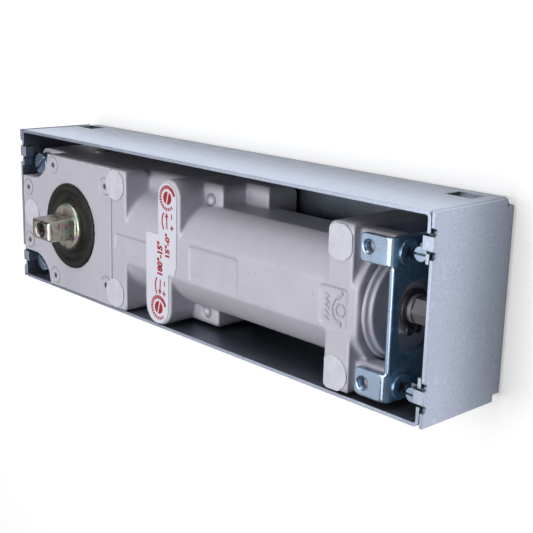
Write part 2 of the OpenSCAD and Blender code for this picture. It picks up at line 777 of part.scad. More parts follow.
module force_adjuster() color("DarkGray") {
    hex_r = adjuster_hex / 2 / cos(30);
    rod_x(seat_face - seat_travel - 8, cap_start, adjuster_r);
    rod_x(cap_start - collar_length - 0.1, cap_start - 0.1, 9);
    rod_x(cap_start - 0.2, circlip_x, 6);
    rod_x(circlip_x - eps, circlip_x + 1.3, 5.2);
    rod_x(circlip_x + 1.3 - eps, circlip_x + 3.3, 6);
    intersection() {
        rod_x(circlip_x + 3, adjuster_end, hex_r, $fn = 6);
        translate([circlip_x, 0, axis_z]) rotate([0, 90, 0])
            cylinder(h = adjuster_end - circlip_x, r1 = hex_r + 8, r2 = hex_r - 0.7);
    }
}

module adjuster_circlip() color("DimGray") translate([circlip_x + 0.1, 0, axis_z])
    rotate([0, 90, 0]) difference() {
        union() {
            ring(1.1, 8.2, 5.25);
            for (side = [-1, 1]) rotate(side * 16 - 90) translate([9.2, 0, 0]) cylinder(h = 1.1, r = 2);
        }
        rotate(-90) translate([4, -0.9, -1]) cube([10, 1.8, 4]);
        for (side = [-1, 1]) rotate(side * 16 - 90) translate([9.4, 0, -1]) cylinder(h = 4, r = 0.9);
    }

seal_wire = 1.2;

module end_cap() color("LightGray") difference() {
    union() {
        rod_x(cap_start, barrel_end + 0.5, cap_r);
        rod_x(barrel_end + 0.1, barrel_end + 2.2, cap_rim_r);
        rod_x(barrel_end + 2.1, cap_end, cap_rim_r - 1.8);
        rod_x(cap_end - 0.1, cap_end + 2.9, 9.6);
    }
    rod_x(cap_start - 1, cap_end + 4, 6 + fit);
    translate([cap_start + 4, 0, axis_z]) rotate([0, 90, 0]) difference() {
        cylinder(h = 2 * seal_wire + 0.2, r = cap_r + 1);
        translate([0, 0, -1]) cylinder(h = 6, r = cap_r - 2 * seal_wire + 0.1);
    }
    translate([cap_start + 4, 0, axis_z]) rotate([0, 90, 0])
        cylinder(h = 2 * seal_wire + 0.2, r = 6 + 2 * seal_wire);
}

module end_cap_seal() color("Black") translate([cap_start + 4 + seal_wire + 0.1, 0, axis_z])
    rotate([0, 90, 0]) seal_ring(cap_r - seal_wire + 0.05, seal_wire - 0.05);

module adjuster_seal() color("Black") translate([cap_start + 4 + seal_wire + 0.1, 0, axis_z])
    rotate([0, 90, 0]) seal_ring(6 + seal_wire, seal_wire - 0.05);

// ---------- Bracket ----------

module bracket_opening() {
    half_y = 14;
    half_z = 18.4;
    round_rect(-half_y, half_y, -half_z, half_z, 8);
}

// A lug and its bend, seen from the side, with the corner of the bend at the origin.
module bent_lug() {
    r = bracket_bend_r;
    difference() {
        union() {
            translate([-r, -r]) circle(r);
            translate([-lug_length - bracket_t, -bracket_t]) square([lug_length + bracket_t - r, bracket_t]);
            translate([-bracket_t, -2 * r]) square([bracket_t, r]);
        }
        translate([-r, -r]) circle(r - bracket_t);
        translate([-2 * r, -3 * r]) square([2 * r - bracket_t, 2 * r]);
        translate([-3 * r, -3 * r]) square([2 * r, 3 * r - bracket_t]);
    }
}

// The plate below the bends, with its top edge set down between the lugs.
module bracket_outline() {
    top = bracket_top - axis_z;
    round_rect(-bracket_half, bracket_half, base_z - axis_z, top - bracket_bend_r, 3);
    for (side = [-1, 1]) translate([side > 0 ? lug_y0 : -bracket_half, 0])
        square([bracket_half - lug_y0, top - bracket_bend_r]);
    translate([-lug_y0 - eps, 0]) square([2 * (lug_y0 + eps), top - bracket_dip]);
}

module bracket() color("CornflowerBlue") difference() {
    union() {
        along_x(bracket_x, bracket_x + bracket_t) difference() {
            bracket_outline();
            bracket_opening();
        }
        both_sides() intersection() {
            translate([bracket_x + bracket_t, bracket_half, bracket_top]) rotate([90, 0, 0])
                linear_extrude(bracket_half - lug_y0) bent_lug();
            between_z(0, top_z) round_rect(lug_x0, bracket_x + 2 * lug_length, lug_y0, bracket_half, 2);
        }
    }
    both_sides() {
        translate([lug_hole_x, lug_hole_y, bracket_top - 8]) cylinder(h = 12, r = lug_thread_r);
        translate([bracket_x - 1, bracket_screw_y, bracket_screw_z]) rotate([0, 90, 0])
            cylinder(h = bracket_t + 2, r = bracket_screw_r + 0.2);
    }
}

module bracket_screws() color("LightSteelBlue") both_sides() {
    shank = 10;
    head_r = 5.2;
    head_h = 2.6;
    recess = 4.4;
    recess_w = 1.2;
    recess_floor = 1.2;
    translate([bracket_x, bracket_screw_y, bracket_screw_z]) rotate([0, 90, 0]) difference() {
        union() {
            translate([0, 0, -shank]) cylinder(h = shank + bracket_t + 1, r = bracket_screw_r);
            translate([0, 0, bracket_t]) cylinder(h = head_h, r = head_r);
        }
        translate([0, 0, bracket_t + recess_floor]) for (turn = [0, 60, 120]) rotate(turn)
            translate([-recess / 2, -recess_w / 2, 0]) cube([recess, recess_w, head_h]);
    }
}

// ---------- Valves ----------

valve_ring_z = top_z - 8;
valve_top = top_z - 1.4;

module valve_screw(at) translate([at[0], at[1], 0]) difference() {
    union() {
        translate([0, 0, axis_z + 2]) cylinder(h = valve_top - axis_z - 2, r = valve_r);
        translate([0, 0, axis_z - 4]) cylinder(h = 6, r1 = 0.8, r2 = valve_r - 0.6);
    }
    translate([0, 0, valve_ring_z - 1]) ring(2, valve_r + 1, valve_r - 1.2);
    translate([-valve_r - 1, -0.5, valve_top - 1.6]) cube([2 * valve_r + 2, 1, 3]);
}

module closing_valve() color("Goldenrod") valve_screw(closing_valve_at);

module latching_valve() color("Goldenrod") valve_screw(latching_valve_at);

module valve_seals_closing() color("Black")
    translate([closing_valve_at[0], closing_valve_at[1], valve_ring_z]) seal_ring(valve_r - 0.55, 0.55);

module valve_seals_latching() color("Black")
    translate([latching_valve_at[0], latching_valve_at[1], valve_ring_z]) seal_ring(valve_r - 0.55, 0.55);

module duct_plugs() color("DarkGray") for (at = [closing_plug_at, latching_plug_at])
    translate([at[0], at[1], duct_z - plug_r * 0.6]) sphere(r = plug_r);

module side_plug() color("DimGray") translate([side_plug_at[0], side_plug_at[1], side_plug_z])
    rotate([90, 0, 0]) difference() {
        translate([0, 0, -0.6]) cylinder(h = 6.6, r = 4);
        translate([0, 0, -1]) cylinder(h = 3, r = 2.2, $fn = 6);
    }

// ---------- Fasteners, label and pads ----------

washer_t = 1.2;

module fixing_screws() color("LightSteelBlue") both_sides()
    translate([fixing_at[0], fixing_at[1], 0]) difference() {
        union() {
            translate([0, 0, sheet + 0.1]) cylinder(h = ear_z - sheet + 2, r = fixing_r);
            translate([0, 0, ear_z + washer_t]) cylinder(h = 4.4, r = 5.8);
        }
        rotate(35) translate([-7, -0.8, ear_z + washer_t + 2.4]) cube([14, 1.6, 3]);
    }

module fixing_washers() color("Silver") both_sides() translate([fixing_at[0], fixing_at[1], ear_z])
    ring(washer_t, 6.1, fixing_r + 0.2);

label_t = 0.25;

module valve_label() color("White") between_z(top_z, top_z + label_t) {
    round_rect(66.3, 88.1, -9, 9, 1);
    round_rect(75.6, 89.1, -6, 27.3, 1);
    translate([82.4, 27.3]) circle(6.75);
    round_rect(66.3, 83.4, -26, 6, 1);
    translate([74.8, -26]) circle(8.3);
}

pad_r = 7.4;
pad_t = 0.4;
pad_inset = 0.6;
head_pads = [[40.6, 27.3], [40, -27.1], [-38, 1]];
block_pads = [[190.8, 26.7], [190, -27]];

module cover_pads() color("Snow") between_z(top_z, top_z + pad_t) {
    for (at = head_pads) translate(at) circle(pad_r);
    intersection() {
        for (at = block_pads) translate(at) circle(pad_r);
        round_rect(cross_start + pad_inset, cross_start + cross_length - pad_inset,
            pad_inset - cross_half, cross_half - pad_inset, 2);
    }
}

cement_box();
levelling_screws();
housing();
cover_plate();
cover_gasket();
cover_screws();
spindle_seal();
upper_bearing();
lower_bearing();
spindle();
cam_disc();
cam_key();
cam_spacer();
upper_cage_plate();
lower_cage_plate();
cage_pins();
front_roller();
rear_roller();
piston();
piston_ring();
check_valve();
main_spring();
spring_seat();
force_adjuster();
adjuster_circlip();
adjuster_seal();
end_cap();
end_cap_seal();
bracket();
bracket_screws();
closing_valve();
latching_valve();
valve_seals_closing();
valve_seals_latching();
duct_plugs();
side_plug();
fixing_screws();
fixing_washers();
valve_label();
cover_pads();
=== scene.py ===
"""Floor spring door closer in its cement box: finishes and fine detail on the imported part."""

import math

import bmesh
import bpy
import numpy as np
from bpy.props import FloatProperty, FloatVectorProperty, IntProperty, PointerProperty
from mathutils import Matrix, Vector


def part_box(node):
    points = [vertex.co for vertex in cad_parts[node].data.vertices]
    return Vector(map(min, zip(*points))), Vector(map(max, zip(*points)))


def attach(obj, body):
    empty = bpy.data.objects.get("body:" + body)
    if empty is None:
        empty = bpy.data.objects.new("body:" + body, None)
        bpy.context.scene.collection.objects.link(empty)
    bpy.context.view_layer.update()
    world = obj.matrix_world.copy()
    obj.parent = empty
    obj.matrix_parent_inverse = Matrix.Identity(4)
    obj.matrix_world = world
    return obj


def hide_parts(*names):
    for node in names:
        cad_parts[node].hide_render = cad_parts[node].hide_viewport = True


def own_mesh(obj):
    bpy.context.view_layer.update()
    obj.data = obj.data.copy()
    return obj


bl_info = {
    "name": "Floor Spring Door Closer",
    "version": (1, 0, 0),
    "blender": (4, 5, 0),
    "location": "3D View > Sidebar > Closer",
    "description": "Finishes and fine detail for a floor spring door closer in its cement box",
    "category": "Object",
}

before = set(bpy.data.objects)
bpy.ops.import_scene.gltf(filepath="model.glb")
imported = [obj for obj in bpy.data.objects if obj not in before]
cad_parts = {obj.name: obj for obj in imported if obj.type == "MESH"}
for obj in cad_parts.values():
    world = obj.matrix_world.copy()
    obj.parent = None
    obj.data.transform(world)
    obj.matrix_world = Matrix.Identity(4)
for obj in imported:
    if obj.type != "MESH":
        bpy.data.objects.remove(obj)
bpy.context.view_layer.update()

MM = 0.001
CAST_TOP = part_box("cover_plate")[1].z
# Where the end cap stands on the barrel
CAP_SEAT = 201.6 * MM
BARREL_AXIS_Z = (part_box("main_spring")[0].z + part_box("main_spring")[1].z) / 2


def mm(*values):
    """A place given in millimetres."""
    return tuple(value * MM for value in values)


# ---------- Settings ----------


def colour_setting(name, description, default):
    return FloatVectorProperty(
        name=name, description=description, default=default, size=3, min=0, max=1, subtype="COLOR"
    )


def length_setting(name, description, default):
    return FloatProperty(
        name=name, description=description, default=default, min=0, precision=5, unit="LENGTH"
    )


def share_setting(name, description, default):
    return FloatProperty(
        name=name, description=description, default=default, min=0, max=1, subtype="FACTOR"
    )


class CloserBoxSettings(bpy.types.PropertyGroup):
    sheet_colour: colour_setting("Sheet", "Colour of the galvanised sheet", (0.56, 0.62, 0.77))
    spangle_size: length_setting("Spangle", "Size of the zinc crystals", 3.2 * MM)
    sheet_roughness: share_setting("Roughness", "Roughness of the galvanised sheet", 0.36)


class CloserCastingSettings(bpy.types.PropertyGroup):
    paint_colour: colour_setting("Paint", "Colour of the casting paint", (0.585, 0.575, 0.655))
    grid: length_setting("Grid", "Grid on which the casting is rounded", 0.55 * MM)
    edge_passes: IntProperty(
        name="Edge rounding", description="Rounding passes on the outer edges", default=2, min=0
    )
    fillet_passes: IntProperty(
        name="Fillet rounding", description="Rounding passes in the pockets", default=90, min=0
    )


class CloserMetalSettings(bpy.types.PropertyGroup):
    blue_zinc: colour_setting("Blue zinc", "Colour of the blue zinc plating", (0.34, 0.44, 0.58))
    # This colour is a painted reflection, laid on the upright faces of the blue zinc
    reflection_tint: colour_setting("Deep zinc", "Colour of the blue bloom on upright faces", (0.18, 0.40, 0.66))
    yellow_zinc: colour_setting("Yellow zinc", "Main colour of the yellow zinc plating", (0.52, 0.55, 0.46))
    ground_steel: colour_setting("Ground steel", "Colour of the ground steel pieces", (0.50, 0.50, 0.51))
    grey_steel: colour_setting("Grey steel", "Colour of the phosphated steel pieces", (0.34, 0.33, 0.36))


class CloserLabelSettings(bpy.types.PropertyGroup):
    paper_colour: colour_setting("Paper", "Colour of the label", (0.75, 0.75, 0.86))
    ink_colour: colour_setting("Ink", "Colour of the print", (0.33, 0.004, 0.015))
    tick_count: IntProperty(name="Ticks", description="Ticks round each dial", default=17, min=6)
    tick_ring_radius: length_setting("Dial", "Outside radius of a dial", 6.0 * MM)
    letter_height: length_setting("Letters", "Height of the numerals", 4.3 * MM)


class CloserStageSettings(bpy.types.PropertyGroup):
    camera_at: FloatVectorProperty(
        name="Camera",
        description="Camera place",
        default=(0.45827, 0.11533, 0.34014),
        subtype="TRANSLATION",
    )
    camera_aim: FloatVectorProperty(
        name="Aim",
        description="Point the camera looks at",
        default=(0.14872, 0.00815, 0.05),
        subtype="TRANSLATION",
    )
    camera_roll: FloatProperty(
        name="Roll", description="Camera roll", default=math.radians(-101.478), subtype="ANGLE"
    )
    lens: FloatProperty(name="Lens", description="Focal length in millimetres", default=70.669, min=1)
    world_light: FloatProperty(name="Sky", description="Strength of the even light", default=0.03, min=0)


# ---------- Shader building ----------


def add_node(tree, kind, inputs=None, **settings):
    """A new node with its settings, and its inputs set to values or linked to sockets."""
    made = tree.nodes.new(kind)
    for name, value in settings.items():
        setattr(made, name, value)
    for key, value in (inputs or {}).items():
        if isinstance(value, bpy.types.NodeSocket):
            tree.links.new(value, made.inputs[key])
        else:
            made.inputs[key].default_value = value
    return made


def maths(tree, operation, first, second=0.5, clamp=False):
    """One sum on two numbers or sockets."""
    made = add_node(tree, "ShaderNodeMath", {0: first, 1: second}, operation=operation, use_clamp=clamp)
    return made.outputs[0]


def steps(tree, value, low, high):
    """0 below low, 1 above high, with a smooth rise between them."""
    made = add_node(
        tree,
        "ShaderNodeMapRange",
        {"Value": value, "From Min": low, "From Max": high},
        interpolation_type="SMOOTHSTEP",
    )
    return made.outputs["Result"]


def mixed(tree, share, first, second):
    """A colour that runs from the first to the second with share."""
    made = add_node(tree, "ShaderNodeMix", {"Factor": share}, data_type="RGBA")
    for socket, value in ((made.inputs[6], first), (made.inputs[7], second)):
        if isinstance(value, bpy.types.NodeSocket):
            tree.links.new(value, socket)
        else:
            socket.default_value = (*value, 1)
    return made.outputs[2]


def tinted(tree, colour, mask, strength, tint):
    """A colour with a tint laid over it where the mask is."""
    return mixed(tree, maths(tree, "MULTIPLY", mask, strength), colour, tint)


def face_direction(tree):
    """X, Y and Z of the direction that a face points in."""
    facing = add_node(tree, "ShaderNodeNewGeometry").outputs["True Normal"]
    return add_node(tree, "ShaderNodeSeparateXYZ", {"Vector": facing}).outputs


def place(tree, stretch=(1, 1, 1), turn=(0, 0, 0)):
    """The place on the object in metres, stretched and turned."""
    where = add_node(tree, "ShaderNodeTexCoord").outputs["Object"]
    made = add_node(tree, "ShaderNodeMapping", {"Vector": where, "Rotation": turn, "Scale": stretch})
    return made.outputs[0]


def noise(tree, vector, scale, detail=3.0, roughness=0.55):
    """Uneven values round 0.5, scale to the metre."""
    made = add_node(
        tree,
        "ShaderNodeTexNoise",
        {"Vector": vector, "Scale": scale, "Detail": detail, "Roughness": roughness},
    )
    return made.outputs["Fac"]


def new_group(name, values, outputs):
    """An empty shader group with number inputs and outputs, and its two end nodes."""
    group = bpy.data.node_groups.new(name, "ShaderNodeTree")
    for label, default in values.items():
        socket = group.interface.new_socket(name=label, in_out="INPUT", socket_type="NodeSocketFloat")
        socket.default_value = default
    for label, kind in outputs.items():
        group.interface.new_socket(name=label, in_out="OUTPUT", socket_type=kind)
    return group, group.nodes.new("NodeGroupInput"), group.nodes.new("NodeGroupOutput")


def grain_group():
    """Fine unevenness of a surface: a height for bumps and a tone for colour and gloss."""
    group, given, out = new_group(
        "Surface Grain",
        {"Fine Size": 0.4 * MM, "Broad Size": 9 * MM},
        {"Height": "NodeSocketFloat", "Tone": "NodeSocketFloat"},
    )
    where = place(group)
    fine = noise(group, where, maths(group, "DIVIDE", 1.0, given.outputs["Fine Size"]), 2.0)
    broad = noise(group, where, maths(group, "DIVIDE", 1.0, given.outputs["Broad Size"]), 4.0)
    group.links.new(fine, out.inputs["Height"])
    group.links.new(steps(group, broad, 0.3, 0.7), out.inputs["Tone"])
    return group


def edge_group():
    """Edges as they round off and wear: a normal that rounds them and a mask of the bare edge."""
    group, given, out = new_group(
        "Edge Wear",
        {"Radius": 0.4 * MM, "Patch Size": 3 * MM},
        {"Normal": "NodeSocketVector", "Edge": "NodeSocketFloat"},
    )
    rounded = add_node(group, "ShaderNodeBevel", {"Radius": given.outputs["Radius"]}, samples=4)
    flat = add_node(group, "ShaderNodeNewGeometry").outputs["Normal"]
    likeness = add_node(
        group, "ShaderNodeVectorMath", {0: rounded.outputs[0], 1: flat}, operation="DOT_PRODUCT"
    ).outputs["Value"]
    bend = maths(group, "SUBTRACT", 1.0, likeness)
    patch = noise(group, place(group), maths(group, "DIVIDE", 1.0, given.outputs["Patch Size"]))
    worn = maths(group, "MULTIPLY", steps(group, bend, 0.03, 0.25), steps(group, patch, 0.35, 0.65))
    group.links.new(rounded.outputs[0], out.inputs["Normal"])
    group.links.new(worn, out.inputs["Edge"])
    return group


def grime_and_shade_group():
    """Dust and oil that stay in corners, and a plain painted shade (the Shade output) that darkens corners and
    hollows.
    """
    group, given, out = new_group(
        "Corner Grime",
        {"Reach": 3 * MM, "Patch Size": 6 * MM},
        {"Grime": "NodeSocketFloat", "Shade": "NodeSocketFloat"},
    )
    shade = add_node(
        group, "ShaderNodeAmbientOcclusion", {"Distance": given.outputs["Reach"]}, samples=4
    ).outputs["AO"]
    patch = noise(group, place(group), maths(group, "DIVIDE", 1.0, given.outputs["Patch Size"]), 5.0)
    corner = maths(group, "SUBTRACT", 1.0, shade, clamp=True)
    # Shade is painted shade: the darkness of the occlusion alone, without the dirt patches
    group.links.new(corner, out.inputs["Shade"])
    group.links.new(
        maths(group, "MULTIPLY", corner, steps(group, patch, 0.25, 0.7), clamp=True), out.inputs["Grime"]
    )
    return group


def scuff_group():
    """Thin rubbed lines along X and across it."""
    group, given, out = new_group("Scuffs", {"Size": 2 * MM}, {"Scuff": "NodeSocketFloat"})
    size = maths(group, "DIVIDE", 1.0, given.outputs["Size"])
    lines = []
    for stretch, turn in (((0.05, 1.2, 1.2), 0.12), ((1.2, 0.06, 1.2), -0.4)):
        along = noise(group, place(group, stretch, (0, 0, turn)), size, 1.5)
        lines.append(steps(group, along, 0.66, 0.74))
    group.links.new(maths(group, "MAXIMUM", *lines), out.inputs["Scuff"])
    return group


def spangle_group():
    """Zinc crystals: a tone that differs from one to the next."""
    group, given, out = new_group("Zinc Spangle", {"Size": 5 * MM}, {"Tone": "NodeSocketFloat"})
    size = maths(group, "DIVIDE", 1.0, given.outputs["Size"])
    wander = add_node(
        group, "ShaderNodeTexNoise", {"Vector": place(group), "Scale": size, "Detail": 2.0}
    ).outputs["Color"]
    shift = add_node(group, "ShaderNodeVectorMath", {0: wander, "Scale": 2.5 * MM}, operation="SCALE")
    moved = add_node(
        group, "ShaderNodeVectorMath", {0: place(group), 1: shift.outputs[0]}, operation="ADD"
    ).outputs[0]
    cells = add_node(group, "ShaderNodeTexVoronoi", {"Vector": moved, "Scale": size})
    tone = add_node(group, "ShaderNodeSeparateColor", {"Color": cells.outputs["Color"]}).outputs["Red"]
    group.links.new(tone, out.inputs["Tone"])
    return group


GROUP_MAKERS = {
    "grain": grain_group,
    "edge": edge_group,
    # The grime effect gives both corner grime and a painted shade
    "grime": grime_and_shade_group,
    "scuff": scuff_group,
    "spangle": spangle_group,
}
groups = {}


def effect(tree, kind, **values):
    """A shared effect placed in a material with its own values."""
    if kind not in groups:
        groups[kind] = GROUP_MAKERS[kind]()
    placed = add_node(tree, "ShaderNodeGroup", node_tree=groups[kind])
    for label, value in values.items():
        placed.inputs[label.replace("_", " ").title()].default_value = value
    return placed.outputs


def new_material(name, metallic=0.0, roughness=0.5, coat=0.0):
    """A material with one Principled shader and the values that are the same all over."""
    material = bpy.data.materials.new(name)
    material.use_nodes = True
    shader = material.node_tree.nodes["Principled BSDF"]
    shader.inputs["Metallic"].default_value = metallic
    shader.inputs["Roughness"].default_value = roughness
    shader.inputs["Coat Weight"].default_value = coat
    shader.inputs["Coat Roughness"].default_value = 0.33
    return material, material.node_tree, shader


def surface(tree, shader, colour, roughness=None, height=None, depth=0.0, normal=None):
    """Links the colour, roughness and bumps of a surface to its shader."""
    tree.links.new(colour, shader.inputs["Base Color"])
    if roughness is not None:
        tree.links.new(roughness, shader.inputs["Roughness"])
    if height is not None:
        bump = add_node(tree, "ShaderNodeBump", {"Height": height, "Distance": depth, "Strength": 1.0})
        if normal is not None:
            tree.links.new(normal, bump.inputs["Normal"])
        normal = bump.outputs[0]
    if normal is not None:
        tree.links.new(normal, shader.inputs["Normal"])


def between(tree, share, low, high):
    """A number that runs from low to high with share."""
    made = add_node(tree, "ShaderNodeMapRange", {"Value": share, "To Min": low, "To Max": high})
    return made.outputs["Result"]


# ---------- Finishes ----------


def galvanised_sheet():
    """Dull zinc with faint crystals, rubbed lines and bare edges, with painted shade that makes it darker
    towards the inside.
    """
    chosen = bpy.context.scene.closer_box
    base = Vector(chosen.sheet_colour)
    material, tree, shader = new_material("galvanised_sheet", metallic=0.82)
    spangle = effect(tree, "spangle", size=chosen.spangle_size)["Tone"]
    grain = effect(tree, "grain", fine_size=0.85 * MM, broad_size=26 * MM)
    edge = effect(tree, "edge", radius=0.35 * MM, patch_size=9 * MM)
    scuff = effect(tree, "scuff", size=3 * MM)["Scuff"]
    grime = effect(tree, "grime", reach=4 * MM, patch_size=7 * MM)["Grime"]
    colour = mixed(tree, spangle, base * 0.92, base * 1.06)
    colour = mixed(tree, steps(tree, grain["Height"], 0.38, 0.62), colour, base * 0.87)
    colour = tinted(tree, colour, grain["Tone"], 0.45, base * 0.86)
    colour = tinted(tree, colour, scuff, 0.35, base * 1.25)
    colour = tinted(tree, colour, edge["Edge"], 0.6, (0.50, 0.47, 0.46))
    colour = tinted(tree, colour, grime, 0.7, (0.10, 0.09, 0.08))
    # Painted shade: the inside of the box is darkened towards a near-black blue by the occlusion within 45 mm
    inside = effect(tree, "grime", reach=45 * MM)["Shade"]
    depth = maths(tree, "POWER", inside, 0.5)
    colour = tinted(tree, colour, depth, 0.9, (0.03, 0.042, 0.05))
    rough = between(tree, spangle, chosen.sheet_roughness, chosen.sheet_roughness + 0.12)
    surface(tree, shader, colour, rough, grain["Height"], 0.016 * MM, edge["Normal"])
    return material


def painted_casting():
    """Pale paint on a cast skin, with specks, rubbed lines, grime in the corners and painted shade that darkens
    its hollows.
    """
    base = Vector(bpy.context.scene.closer_casting.paint_colour)
    material, tree, shader = new_material("painted_casting", metallic=0.12, coat=0.12)
    grain = effect(tree, "grain", fine_size=0.55 * MM, broad_size=16 * MM)
    edge = effect(tree, "edge", radius=0.45 * MM, patch_size=2.2 * MM)
    grime = effect(tree, "grime", reach=2.2 * MM, patch_size=5 * MM)["Grime"]
    scuff = effect(tree, "scuff", size=1.6 * MM)["Scuff"]
    specks = steps(tree, noise(tree, place(tree), 520.0, 1.0), 0.775, 0.81)
    colour = mixed(tree, grain["Tone"], base, base * 0.945)
    colour = tinted(tree, colour, edge["Edge"], 0.30, (0.66, 0.65, 0.70))
    colour = tinted(tree, colour, scuff, 0.12, (0.70, 0.70, 0.74))
    colour = tinted(tree, colour, grime, 0.55, (0.14, 0.12, 0.11))
    colour = tinted(tree, colour, specks, 0.5, (0.20, 0.17, 0.15))
    # Painted shade: the hollows of the casting are darkened by the occlusion within 16 mm
    deep = effect(tree, "grime", reach=16 * MM)["Shade"]
    colour = tinted(tree, colour, deep, 0.22, base * 0.25)
    rough = between(tree, grain["Tone"], 0.42, 0.52)
    surface(tree, shader, colour, rough, grain["Height"], 0.035 * MM, edge["Normal"])
    return material


def blue_zinc():
    """Bright metal with a milky blue tint, and a deeper blue laid on the upright faces as a painted reflection.
    """
    chosen = bpy.context.scene.closer_metal
    base, deep, gloss = Vector(chosen.blue_zinc), Vector(chosen.reflection_tint), 0.14
    material, tree, shader = new_material("blue_zinc")
    grain = effect(tree, "grain", fine_size=0.6 * MM, broad_size=7 * MM)
    edge = effect(tree, "edge", radius=0.4 * MM, patch_size=3 * MM)
    scuff = effect(tree, "scuff", size=1.2 * MM)["Scuff"]
    grime = effect(tree, "grime", reach=1.6 * MM, patch_size=3 * MM)["Grime"]
    colour = mixed(tree, grain["Tone"], base, base * 1.16)
    # Painted reflection: the upright faces get a deeper blue for the reflections they show
    upright = steps(tree, maths(tree, "ABSOLUTE", face_direction(tree)["X"]), 0.6, 0.95)
    painted_reflection = mixed(tree, grain["Tone"], deep, deep * 1.7)
    colour = tinted(tree, colour, upright, 0.8, painted_reflection)
    tree.links.new(between(tree, upright, 0.82, 0.5), shader.inputs["Metallic"])
    colour = tinted(tree, colour, edge["Edge"], 0.5, (0.78, 0.80, 0.82))
    colour = tinted(tree, colour, grime, 0.5, (0.06, 0.05, 0.045))
    rough = between(tree, maths(tree, "MAXIMUM", scuff, grain["Tone"]), gloss, gloss + 0.14)
    surface(tree, shader, colour, rough, grain["Height"], 0.008 * MM, edge["Normal"])
    return material


def yellow_zinc():
    """Yellow zinc that shifts to pink and green, with brown handling stains on two faces."""
    base = Vector(bpy.context.scene.closer_metal.yellow_zinc)
    material, tree, shader = new_material("yellow_zinc", metallic=1.0)
    edge = effect(tree, "edge", radius=0.4 * MM, patch_size=2 * MM)
    grain = effect(tree, "grain", fine_size=0.4 * MM, broad_size=4 * MM)
    sheen = noise(tree, place(tree, (1, 1, 0.4)), 210.0, 3.0, 0.6)
    bands = add_node(tree, "ShaderNodeValToRGB", {"Fac": sheen})
    ramp = bands.color_ramp
    tints = (
        (0.30, (0.36, 0.52, 0.48)),
        (0.44, base),
        (0.53, (0.60, 0.58, 0.46)),
        (0.60, (0.60, 0.43, 0.50)),
        (0.70, (0.50, 0.56, 0.62)),
    )
    ramp.elements[0].position, ramp.elements[1].position = tints[0][0], tints[-1][0]
    ramp.elements[0].color, ramp.elements[1].color = (*tints[0][1], 1), (*tints[-1][1], 1)
    for at, tint in tints[1:-1]:
        ramp.elements.new(at).color = (*tint, 1)
    level = maths(tree, "ABSOLUTE", face_direction(tree)["Z"])
    side_on = maths(tree, "SUBTRACT", 1.0, level, clamp=True)
    patches = steps(tree, noise(tree, place(tree, (1, 1, 1.6)), 330.0, 6.0, 0.62), 0.54, 0.66)
    stain = maths(tree, "MULTIPLY", patches, side_on)
    colour = tinted(tree, bands.outputs[0], stain, 0.8, (0.24, 0.14, 0.07))
    colour = tinted(tree, colour, edge["Edge"], 0.6, (0.74, 0.72, 0.60))
    rough = between(tree, maths(tree, "MAXIMUM", stain, grain["Tone"]), 0.24, 0.5)
    surface(tree, shader, colour, rough, grain["Height"], 0.02 * MM, edge["Normal"])
    return material


def steel(name, base, roughness, metallic=1.0):
    """Ground or phosphated steel with fine machining marks and an oil film in the corners."""
    material, tree, shader = new_material(name, metallic=metallic)
    marks = noise(tree, place(tree, (0.15, 1, 1)), 2600.0, 2.0)
    grain = effect(tree, "grain", fine_size=0.3 * MM, broad_size=5 * MM)
    edge = effect(tree, "edge", radius=0.3 * MM, patch_size=2 * MM)
    grime = effect(tree, "grime", reach=1.5 * MM, patch_size=3 * MM)["Grime"]
    colour = mixed(tree, marks, Vector(base) * 0.88, Vector(base) * 1.1)
    colour = tinted(tree, colour, edge["Edge"], 0.5, (0.72, 0.72, 0.72))
    colour = tinted(tree, colour, grime, 0.6, (0.07, 0.055, 0.04))
    rough = between(tree, grain["Tone"], roughness, roughness + 0.12)
    surface(tree, shader, colour, rough, marks, 0.006 * MM, edge["Normal"])
    return material


def black_rubber():
    """Matt rubber, greyed where it is rubbed."""
    material, tree, shader = new_material("black_rubber")
    shader.inputs["Specular IOR Level"].default_value = 0.32
    grain = effect(tree, "grain", fine_size=0.35 * MM, broad_size=4 * MM)
    edge = effect(tree, "edge", radius=0.5 * MM, patch_size=2 * MM)
    scuff = effect(tree, "scuff", size=1.4 * MM)["Scuff"]
    colour = mixed(tree, grain["Tone"], (0.014, 0.0135, 0.0135), (0.024, 0.022, 0.020))
    colour = tinted(tree, colour, scuff, 0.15, (0.08, 0.075, 0.07))
    colour = tinted(tree, colour, edge["Edge"], 0.3, (0.10, 0.095, 0.085))
    rough = between(tree, grain["Tone"], 0.42, 0.6)
    surface(tree, shader, colour, rough, grain["Height"], 0.03 * MM, edge["Normal"])
    return material


def soft_sheet(name, base, dark, roughness, fibre):
    """Gasket card, label paper or pad film."""
    material, tree, shader = new_material(name)
    grain = effect(tree, "grain", fine_size=fibre, broad_size=6 * MM)
    grime = effect(tree, "grime", reach=1.0 * MM, patch_size=4 * MM)["Grime"]
    colour = mixed(tree, maths(tree, "MULTIPLY", grain["Tone"], 0.5), base, dark)
    colour = tinted(tree, colour, grime, 0.5, (0.34, 0.24, 0.15))
    rough = between(tree, grain["Tone"], roughness, roughness + 0.12)
    surface(tree, shader, colour, rough, grain["Height"], 0.01 * MM)
    return material


def pad_film():
    """Milky film, browned a little round its rim by old glue."""
    material, tree, shader = new_material("pad_film", coat=0.25)
    grain = effect(tree, "grain", fine_size=0.8 * MM, broad_size=5 * MM)
    grime = effect(tree, "grime", reach=1.3 * MM, patch_size=2.5 * MM)["Grime"]
    glue = steps(tree, noise(tree, place(tree), 240.0, 4.0), 0.62, 0.74)
    colour = mixed(tree, grain["Tone"], (0.70, 0.71, 0.80), (0.62, 0.62, 0.70))
    colour = tinted(tree, colour, glue, 0.25, (0.42, 0.34, 0.25))
    colour = tinted(tree, colour, grime, 0.8, (0.36, 0.25, 0.15))
    surface(tree, shader, colour, between(tree, grain["Tone"], 0.3, 0.45), grain["Height"], 0.04 * MM)
    return material


